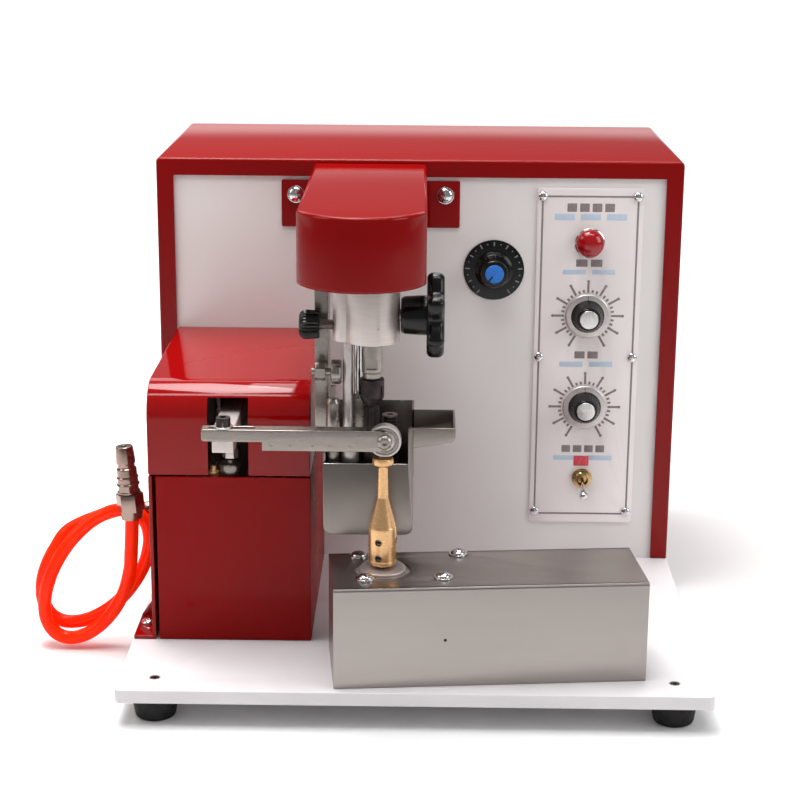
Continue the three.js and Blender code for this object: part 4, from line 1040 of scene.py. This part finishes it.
# ---------------------------------------------------------------- what carries the ink cup
def make_hangers():
    bar_low = up(156)
    plate = slab([rounded([(back(83), bar_low), (back(113), bar_low), (back(113), up(266.6)),
        (back(83), up(266.6))], 1.2)], -69.8, -60.6, "yz", 0.5)
    piece("hanger_plate", plate, "steel", "hanger_bar")
    centre = (SPINDLE[1], up(201.5))
    parts = [
        hexagon("x", centre, -69, -61.8, 10.7, 0.8, 30),
        bar("x", centre, -71.5, -56, 2.5, 0.3),
        turned("x", centre, [(0, -58), (7.4, -58), (8.3, -57.2), (8.3, -52.2), (7.4, -51.1), (0, -51.1)],
               56, 0.4),
    ]
    piece("cross_bolt_body", parts, "steel", "cross_bolt")
    post = bar("z", (-46.8, SPINDLE[1]), up(139), up(261.8), 3.55, 0.4)
    foot = bar("z", (-45.4, SPINDLE[1]), up(138.9), up(147.5), 6, 0.5)
    piece("post_rod", [post, foot], SATIN, "guide_post", body="cup", slot="chrome")
    shelf = slab([rectangle(-61.4, back(65), -37, back(83), 1.5), circle(-56.8, back(70), 2.1, 24)[::-1]],
        up(148.1), up(150.2), "xy", 0.4)
    upright = slab([rectangle(-44, up(148.2), -35.6, up(184), 1.5)], back(80.6), back(83), "xz", 0.4)
    piece("hanger_bracket", [shelf, upright], "steel", "cup_hanger", body="cup")
    piece("guide_rod_slim", bar("z", (-40.4, back(83)), up(180), up(248.8), 2.55, 0.3), "chrome", body="cup")
    rod = turned("z", (-56.8, back(70)), [
        (0, 138.7), (4.3, 138.7), (4.3, 147.6), (1.7, 147.9), (1.7, 164), (4.7, 164), (4.7, 180.6),
        (3.6, 183.6), (1.7, 184.6), (1.7, 192.5), (0, 192.5)], 40, 0.5, datum=DECK)
    piece("adjuster", rod, "steel", "adjusting_rod", body="cup")


CUP_LEFT, CUP_RIGHT = -63.3, -2.2
CUP_FRONT, CUP_BACK = back(59.5), back(131.5)
CUP_FLOOR, CUP_TOP = up(90), up(166)
CUP_WALL = 1.5


def make_cup():
    outline = rounded([(CUP_LEFT, CUP_FLOOR), (CUP_RIGHT, CUP_FLOOR), (CUP_RIGHT, CUP_TOP),
        (CUP_LEFT, CUP_TOP)], [7, 7, 0, 0], 6)
    outer = slab([outline], CUP_FRONT, CUP_BACK, "xz", 0.8, 3)
    inner_loop = rounded([(CUP_LEFT + CUP_WALL, CUP_FLOOR + CUP_WALL),
        (CUP_RIGHT - CUP_WALL, CUP_FLOOR + CUP_WALL), (CUP_RIGHT - CUP_WALL, CUP_TOP + 9),
        (CUP_LEFT + CUP_WALL, CUP_TOP + 9)], [5.5, 5.5, 0, 0], 6)
    inner = cutter([inner_loop], CUP_FRONT + CUP_WALL, CUP_BACK - CUP_WALL, "xz")
    front_cut = cutter([rectangle(CUP_LEFT - 5, up(140.3), CUP_RIGHT - 3.6, CUP_TOP + 9, 1.2)], CUP_FRONT - 5,
        CUP_FRONT + 4, "xz")
    left_cut = block(CUP_LEFT - 5, CUP_LEFT + 4, CUP_FRONT - 5, CUP_BACK - CUP_WALL, up(149), CUP_TOP + 9, 0)
    body = carved(outer, inner, front_cut, left_cut, bevel=0.3)
    pin = bar("z", (-18.6, back(80)), CUP_FLOOR + 1, up(168), 1.95, 0.3)
    tray = carved(slab([tray_outline(0, 0)], back(60), back(107), "xz", 0.5),
        cutter([tray_outline(1.4, 9)], back(61.4), back(105.6), "xz"), bevel=0.25)
    piece("cup_body", [body, pin, tray], CUP_SHADED_SHEET, "ink_cup", body="cup", slot="stainless")
    # The rims are thin rolled edges, and the strip at the right end of the front is a flat sheet laid on it;
    # all are pale as a painted highlight.
    lip = bar("x", (CUP_FRONT + 0.75, up(140.2)), CUP_LEFT + 0.6, CUP_RIGHT - 3.4, 0.55, 0.2)
    wall = slab([rectangle(CUP_RIGHT - 3.2, up(140.2), CUP_RIGHT - 0.5, CUP_TOP - 0.7, 0.8)],
        CUP_FRONT + 0.02, CUP_FRONT + 0.6, "xz", 0.2)
    back_rim = bar("x", (CUP_BACK - 0.8, CUP_TOP - 0.5), CUP_LEFT + 0.8, CUP_RIGHT - 0.8, 0.45, 0.2)
    tray_rim = bar("x", (back(60.7), CUP_TOP - 0.5), CUP_RIGHT + 0.2, 25, 0.5, 0.2)
    end_rim = bar("y", (25.2, CUP_TOP - 0.5), back(60.9), back(106.1), 0.5, 0.2)
    piece("cup_rims_painted_highlight", [lip, wall, back_rim, tray_rim, end_rim], RIM_HIGHLIGHT, body="cup", slot="stainless")


def tray_outline(inset, rise):
    x0, x1 = CUP_RIGHT - 1.4, 26
    points = [(x0 + inset, up(151.5) + inset), (x1 - 2, up(156) + inset), (x1 - inset, up(158.5) + inset),
        (x1 - inset, CUP_TOP + rise), (x0 + inset, CUP_TOP + rise)]
    return rounded(points, [0, 2, 2, 0, 0], 4)


def make_idler():
    profile = [(2.3, up(120)), (5.15, up(120))]
    z = up(121.2)
    while z < up(168.6):
        profile += [(5.15, z), (4.2, z + 0.3), (4.2, z + 0.9), (5.15, z + 1.2)]
        z += 2.1
    profile += [(5.15, up(170)), (2.3, up(170)), (2.3, up(120))]
    piece("grooved_idler", turned("z", (-18.6, back(80)), profile, 48, 0), "black_steel", "idler_roller",
        body="idler")


make_hangers()
make_cup()
make_idler()


# ---------------------------------------------------------------- red box round the press mechanism
HOOD_LEFT, HOOD_RIGHT = -186, -73.5
HOOD_FRONT = back(87)
HOOD_TOP = up(186)
HOOD_BEND = 24
SEAM = 122
BOX_REAR = PANEL - 0.4


def hood_profile(inset, rear, low):
    corner = arc(HOOD_FRONT + HOOD_BEND, HOOD_TOP - HOOD_BEND, HOOD_BEND - inset, 180, 90, 20)
    return [(HOOD_FRONT + inset, low), *corner, (rear, HOOD_TOP - inset), (rear, low)]


TAB_SCREW = (-192.6, back(112))


def make_box():
    outer = slab([hood_profile(0, BOX_REAR, up(SEAM + 0.7))], HOOD_LEFT, HOOD_RIGHT, "yz", 0.7, 3)
    inner = cutter([hood_profile(SHEET, BOX_REAR + 6, up(SEAM) - 6)], HOOD_LEFT + SHEET, HOOD_RIGHT - SHEET,
        "yz")
    window = cutter([rectangle(-144.2, up(SEAM) - 8, -116.2, up(177), 1.0)], HOOD_FRONT - 5, HOOD_FRONT + 12,
        "xz")
    piece("upper_hood", carved(outer, inner, window), "red_paint", "upper_cover")
    front = slab([rectangle(-181, DECK + 0.4, HOOD_RIGHT, up(SEAM - 0.7), 0.8)], HOOD_FRONT, HOOD_FRONT + 2,
        "xz", 0.5, 3)
    side = slab([rectangle(HOOD_FRONT + 0.6, DECK + 0.4, BOX_REAR, up(SEAM - 0.7), 0.8)], HOOD_RIGHT - 2.4,
        HOOD_RIGHT, "yz", 0.5, 3)
    piece("lower_skin", [front, side], DEEP_RED, "lower_cover", slot="red_paint")
    side_loop = rectangle(HOOD_FRONT, DECK, BOX_REAR, up(SEAM - 0.7), 0.8)
    side = slab([side_loop, circle(*port_centre, 5.3, 28)[::-1]], HOOD_LEFT, HOOD_LEFT + 2.5, "yz", 0.5, 3)
    tab = slab([rectangle(-199.5, HOOD_FRONT, HOOD_LEFT + 1, back(128), 1.5),
        circle(*TAB_SCREW, 2.6, 20)[::-1]], DECK, up(2.5), "xy", 0.4)
    web = slab([rounded([(-199.4, DECK), (HOOD_LEFT + 1, DECK), (HOOD_LEFT + 1, up(21)),
        (HOOD_LEFT - 0.5, up(21)), (-199.4, up(3))], [1, 0, 0, 1, 1])], back(125.6), back(128), "xz", 0.4)
    piece("left_plate", [side, tab, web], "red_paint", "left_side_plate")
    piece("tab_screw", cross_screw("z", TAB_SCREW, up(2.5), 1, 4.8, 3.2), "chrome")


CLAMP_SCREW = (-128.7, back(47.4))
ROD = (-130, back(100))


def make_rocker():
    arm = slab([rounded([(back(43.7), up(152)), (back(168), up(152)), (back(168), up(166.8)),
        (back(43.7), up(166.8))], [1.2, 6, 6, 1.2]), circle(back(160), up(160), 4.3, 28)[::-1]], -136.2,
        -121.8, "yz", 0.7, 3)
    bore = bar("z", CLAMP_SCREW, up(148), up(172), 2.8, 0)
    boss = bar("z", ROD, up(138), up(153), 4.6, 0.5)
    nut = hexagon("z", ROD, up(132.1), up(138.4), 9.6, 0.6, 0)
    piece("rocker_lever", [carved(arm, bore), boss, nut], "aluminium", "rocker", body="lever")


def make_arm():
    left, right, top, thin, deep, step = -143, -25, up(168.9), up(160.6), up(154.6), -102.6
    middle = (top + deep) / 2
    nose = arc(right, middle, middle - deep, -90, 90, 16)
    heel = soft_corners([(left + 8, top), (left, top), (left, thin), (left + 8, thin)], 2.4, 5)
    web = slab([[*heel, (step, thin), (step, deep), *nose], circle(BEARING_X, BEARING_Z, 3.8, 28)[::-1]],
        back(41.5), back(43.3), "xz", 0.5, 3)
    shelf = slab([rectangle(left, back(41.6), -34, back(52.2), 2.2),
        rectangle(-138.5, back(44.7), -107.5, back(50.1), 2.6)[::-1]], top - 1.7, top, "xy", 0.5, 3)
    rivets = [turned("y", (x, deep + 3.2), [(0, 41.34), (0.9, 41.4), (1.3, 41.6), (0, 41.7)], 20, 0.1,
        datum=FRONT) for x in (-97, -84, -69, -58, -45)]
    piece("press_arm_body", [web, shelf, *rivets], "steel", "press_arm", body="arm")


BEARING_X = -21.3
BEARING_Z = up(161.3)


def make_bearing():
    centre = (BEARING_X, BEARING_Z)
    front, rear = back(44), back(51)
    rings = [ring("y", centre, front, rear, 11, 9.3, 0.4, 64),
        ring("y", centre, front, rear, 6.3, 3.9, 0.3, 64)]
    piece("bearing_rings", rings, SATIN, "press_bearing", body="bearing", slot="chrome")
    seal = turned("y", centre, [(6.1, front + 0.4), (7.2, front + 0.5), (7.6, front + 0.25),
        (8.8, front + 0.25), (9.4, front + 0.6), (9.4, rear - 0.5), (6.1, rear - 0.5), (6.1, front + 0.4)],
        64, 0.1)
    piece("bearing_seal", seal, "steel", body="bearing")
    centre_screw = turned("y", centre, [(0, 53.4), (5.9, 53.4), (5.9, 51.4), (3.6, 51.2), (3.6, 41.4),
        (0, 41.4)], 40, 0.3, datum=FRONT)
    head = carved(turned("y", centre, [(0, 38.7), (3.2, 38.7), (5, 40.3), (5.1, 41.2), (0, 41.3)], 48, 0.4,
        datum=FRONT), hexagon("y", centre, back(37), back(40.4), 3.0, 0.01))
    piece("bearing_bolt", [centre_screw, head], "steel", "bearing_screw", body="arm")


def make_clamp_screw():
    head = socket_screw("z", CLAMP_SCREW, up(170.4), up(176.1), 4.85, 4.6)
    shank = bar("z", CLAMP_SCREW, up(154), up(170.6), 2.45, 0.3)
    washer = ring("z", CLAMP_SCREW, up(169.05), up(170.3), 6.6, 2.6, 0.3)
    piece("clamp_screw_head", [head, shank], "black_steel", "arm_clamp_screw", body="lever")
    piece("clamp_screw_washer", washer, "chrome", body="lever")


def make_inside():
    parts = [block(x0, x1, back(148), back(172), DECK, up(170), 1.0) for x0,
        x1 in ((-146, -141), (-117, -112))]
    sole = block(-146, -112, back(148), back(172), DECK, up(6), 0.6)
    pin = bar("x", (back(160), up(160)), -146.5, -111.5, 3.9, 0.4)
    piece("rocker_stand", [*parts, sole, pin], "steel", "rocker_bracket")
    foot = block(-146, -106, back(92), back(120), DECK, up(6), 0.8)
    tube = turned("z", ROD, [(4.5, 60), (4.5, 112), (7.6, 112), (9.4, 108), (9.4, 4), (0, 4)], 56, 0.6,
        datum=DECK)
    piece("cylinder_tube", [foot, tube], "aluminium", "air_cylinder")
    rod = turned("z", ROD, [(0, 68.2), (3.9, 68.2), (3.9, 118.6), (7.6, 118.7), (8.3, 119.6), (8.3, 127.4),
        (7.4, 128.2), (3.1, 128.4), (3.1, 130.3), (2, 131), (0, 131.4)], 56, 0.4, datum=DECK)
    piece("cylinder_rod", rod, "steel", "piston_rod", body="piston")
    fitting = turned("z", (-141.5, back(96)), [(0, 112), (3, 112), (3, 119), (4, 119.4), (4, 123.4),
        (2.2, 124), (2.2, 127), (0, 127.2)], 40, 0.3, datum=DECK)
    piece("cylinder_fitting", fitting, "brass")


make_box()
make_rocker()
make_arm()
make_bearing()
make_clamp_screw()
make_inside()


# ---------------------------------------------------------------- motor cover and feed wheel
COVER_AT = (47.9, back(50.4))
COVER_TURN = 5.3
COVER_LENGTH, COVER_DEPTH, COVER_HEIGHT = 211, 70, 70.5
WHEEL = (-22.4, back(46.8))
COVER_SCREWS = ((-84.9, 28), (-83.1, -15.7), (-30.8, -15.9), (-16, 28.2))


def to_bay(x, y):
    """A point over the base plate, seen from the motor cover's own axes."""
    spot = Matrix.Rotation(math.radians(-COVER_TURN), 2) @ (Vector((x, y)) - Vector(COVER_AT))
    return spot.x, spot.y


def from_bay(shape):
    """Turns a shape made in the motor cover's own axes into place."""
    spun(shape, COVER_TURN)
    return moved(shape, COVER_AT[0], COVER_AT[1], DECK)


WHEEL_IN_BAY = to_bay(*WHEEL)


def make_motor_cover():
    x, y, z = COVER_LENGTH / 2, COVER_DEPTH / 2, COVER_HEIGHT
    top = slab([rectangle(-x, -y + 0.4, x, y - 0.4, 0.6), circle(*WHEEL_IN_BAY, 19.0, 64)[::-1],
        *[circle(*spot, 2.8, 20)[::-1] for spot in COVER_SCREWS]], z - 1.5, z, "xy", 0.35)
    skin = [top]
    for side in (-1, 1):
        bend = arc(side * (y - 2.2), z - 2.2, 2.2, 90, 0 if side > 0 else 180, 8)
        wall = [(side * (y - 3), z), *bend, (side * y, 0.4), (side * (y - 1.5), 0.4),
            (side * (y - 1.5), z - 2.4), (side * (y - 3), z - 1.5)]
        skin.append(slab([wall if side < 0 else wall[::-1]], -x, x, "yz", 0.25))
        ends = sorted((side * (x - 1.5), side * x))
        skin.append(slab([rectangle(-y + 1.7, 0.4, y - 1.7, z - 1.7, 0.5)], *ends, "yz", 0.3))
    cover = from_bay(joined(*skin))
    piece("motor_box", cover, "stainless", "motor_cover")
    # A dark dot on the front stands for a small hole: painted shade, not a cut.
    dot = from_bay(turned("y", (-31, 33.2), [(0, -y - 0.03), (1.1, -y - 0.03), (1.1, -y + 0.3),
        (0, -y + 0.3)], 20, 0))
    piece("cover_hole", dot, HOLE_SHADE, slot="stainless")
    heads = [cross_screw("z", spot, z + 0.5, 1, 5.2, 3.3) for spot in COVER_SCREWS]
    rims = [ring("z", spot, z + 0.02, z + 1.0, 6.6, 2.8, 0.3) for spot in COVER_SCREWS]
    piece("cover_screws", from_bay(joined(*heads, *rims)), "chrome")


def make_wheel_mount():
    z = COVER_HEIGHT
    plate = block(-97, -6, -25, 33, z - 6.5, z - 1.9, 0.5)
    barrel = bar("z", WHEEL_IN_BAY, 34, z - 5, 14.8, 0.8)
    disc = turned("z", WHEEL_IN_BAY, [(0, -3), (15.3, -3), (16, 0.4), (15.6, 1.3), (12.6, 1.65), (5.2, 1.65),
        (0, 1.6)], 80, 0.4, datum=z)
    shape = joined(*[carved(part, bar("z", WHEEL_IN_BAY, 28, z + 5, 5, 0)) for part in (plate, barrel, disc)])
    piece("wheel_bearing_block", from_bay(shape), "aluminium", "bearing_housing")


def make_feed_wheel():
    profile = [(4.35, 74.6), (8.8, 74.6), (9.55, 75.6), (9.55, 77.6), (9.3, 77.8), (9.3, 78.2), (9.55, 78.4),
        (9.55, 100.7), (9.2, 101.5), (3.8, 121.5), (3.35, 142.6), (3.9, 143.4), (6.0, 144.3), (7.1, 145.2),
        (7.1, 148.2), (6.7, 149.1), (0, 149.1)]
    body = turned("z", WHEEL, [(0, 98.2), (4.35, 98.2), *profile], 96, 0.5, datum=DECK)
    drills = []
    screws = []
    for turn in (-107, -12):
        for h in (80.8, 92):
            drill = spun(bar("x", (0, up(h)), 4, 13, 2.4, 0, 24), turn)
            drills.append(moved(drill, *WHEEL, 0))
            grub = carved(bar("x", (0, up(h)), 4.5, 8.3, 2.2, 0.2, 24),
                hexagon("x", (0, up(h)), 7, 9.5, 2.2, 0.01))
            screws.append(moved(spun(grub, turn), *WHEEL, 0))
    piece("brass_wheel", carved(body, *drills), "brass", "feed_wheel", body="feed")
    piece("wheel_grub_screws", screws, "black_steel", body="feed")


make_motor_cover()
make_wheel_mount()
make_feed_wheel()


# ---------------------------------------------------------------- CAD nodes that keep their own shape
KEPT = {
    "board": ["control_board"],
    "aluminium": ["head_frame", "spindle_pulley", "upper_motor_pulley", "lower_motor_pulley"],
    "rubber": ["upper_belt", "lower_belt"],
    "black_steel": ["upper_motor", "lower_motor"],
    "steel": ["wheel_shaft"],
}
for kept_look, kept_names in KEPT.items():
    for kept_name in kept_names:
        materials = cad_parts[kept_name].data.materials
        materials.clear()
        materials.append(LOOKS[kept_look])


# ---------------------------------------------------------------- floor and light
FLOOR_RADIUS = 2.6


def make_floor():
    shape = bmesh.new()
    bmesh.ops.create_circle(shape, cap_ends=True, segments=96, radius=FLOOR_RADIUS)
    moved(shape, z=-0.0005)
    floor = as_object("floor", shape, 1.0)
    floor.data.materials.append(floor_white())


def softbox(name, at, target, size, power, spread=180):
    data = bpy.data.lights.new(name, "AREA")
    data.shape = "RECTANGLE"
    data.size, data.size_y = size
    data.energy = power
    data.spread = math.radians(spread)
    lamp = bpy.data.objects.new(name, data)
    spot = Vector(at)
    turn = (Vector(target) - spot).to_track_quat("-Z", "Y")
    lamp.matrix_world = Matrix.Translation(spot) @ turn.to_matrix().to_4x4()
    bpy.context.scene.collection.objects.link(lamp)


def graded(tree, value, start, end, low, high):
    node = tree.nodes.new("ShaderNodeMapRange")
    node.interpolation_type = "SMOOTHSTEP"
    for name, number in (("From Min", start), ("From Max", end), ("To Min", low), ("To Max", high)):
        node.inputs[name].default_value = number
    tree.links.new(value, node.inputs["Value"])
    return node.outputs["Result"]


def make_world():
    """A dim room with a white band behind the machine that carries the floor on to the horizon."""
    world = bpy.data.worlds.new("studio")
    world.use_nodes = True
    tree = world.node_tree
    direction = tree.nodes.new("ShaderNodeTexCoord").outputs["Generated"]
    parts = tree.nodes.new("ShaderNodeSeparateXYZ")
    tree.links.new(direction, parts.inputs["Vector"])
    low = graded(tree, parts.outputs["Z"], 0.0, 0.14, 1.0, 0.0)
    behind = graded(tree, parts.outputs["Y"], -0.3, 0.4, 0.0, 1.0)
    band = tree.nodes.new("ShaderNodeMath")
    band.operation = "MULTIPLY"
    tree.links.new(low, band.inputs[0])
    tree.links.new(behind, band.inputs[1])
    shade = tree.nodes["Background"]
    shade.inputs["Color"].default_value = (1.0, 0.99, 0.985, 1)
    tree.links.new(graded(tree, band.outputs["Value"], 0.0, 1.0, 0.25, 1.1), shade.inputs["Strength"])
    bpy.context.scene.world = world


def make_light():
    middle = (0, 0, 0.15)
    softbox("top_box", (0.15, 0.45, 1.5), (0.15, 0.3, 0), (0.7, 0.6), 8)
    softbox("bend_strip", (-0.33, 0.1, 1.5), (-0.27, 0.0, 0), (0.55, 1.0), 6.8, 90)
    softbox("edge_strip", (0.0, -0.55, 1.45), (0.0, -0.2, 0.2), (1.3, 0.16), 6)
    softbox("left_box", (-1.5, -0.5, 1.1), middle, (0.8, 1.0), 6)
    softbox("right_box", (1.5, -0.7, 0.9), middle, (0.8, 1.0), 9)
    softbox("rear_box", (0.0, 1.7, 1.3), (0, 1.75, 0), (3.4, 1.6), 34, 175)
    scene = bpy.context.scene
    scene.view_settings.view_transform = "Standard"
    scene.view_settings.look = "None"
    scene.view_settings.exposure = 0.0


make_floor()
make_world()
make_light()
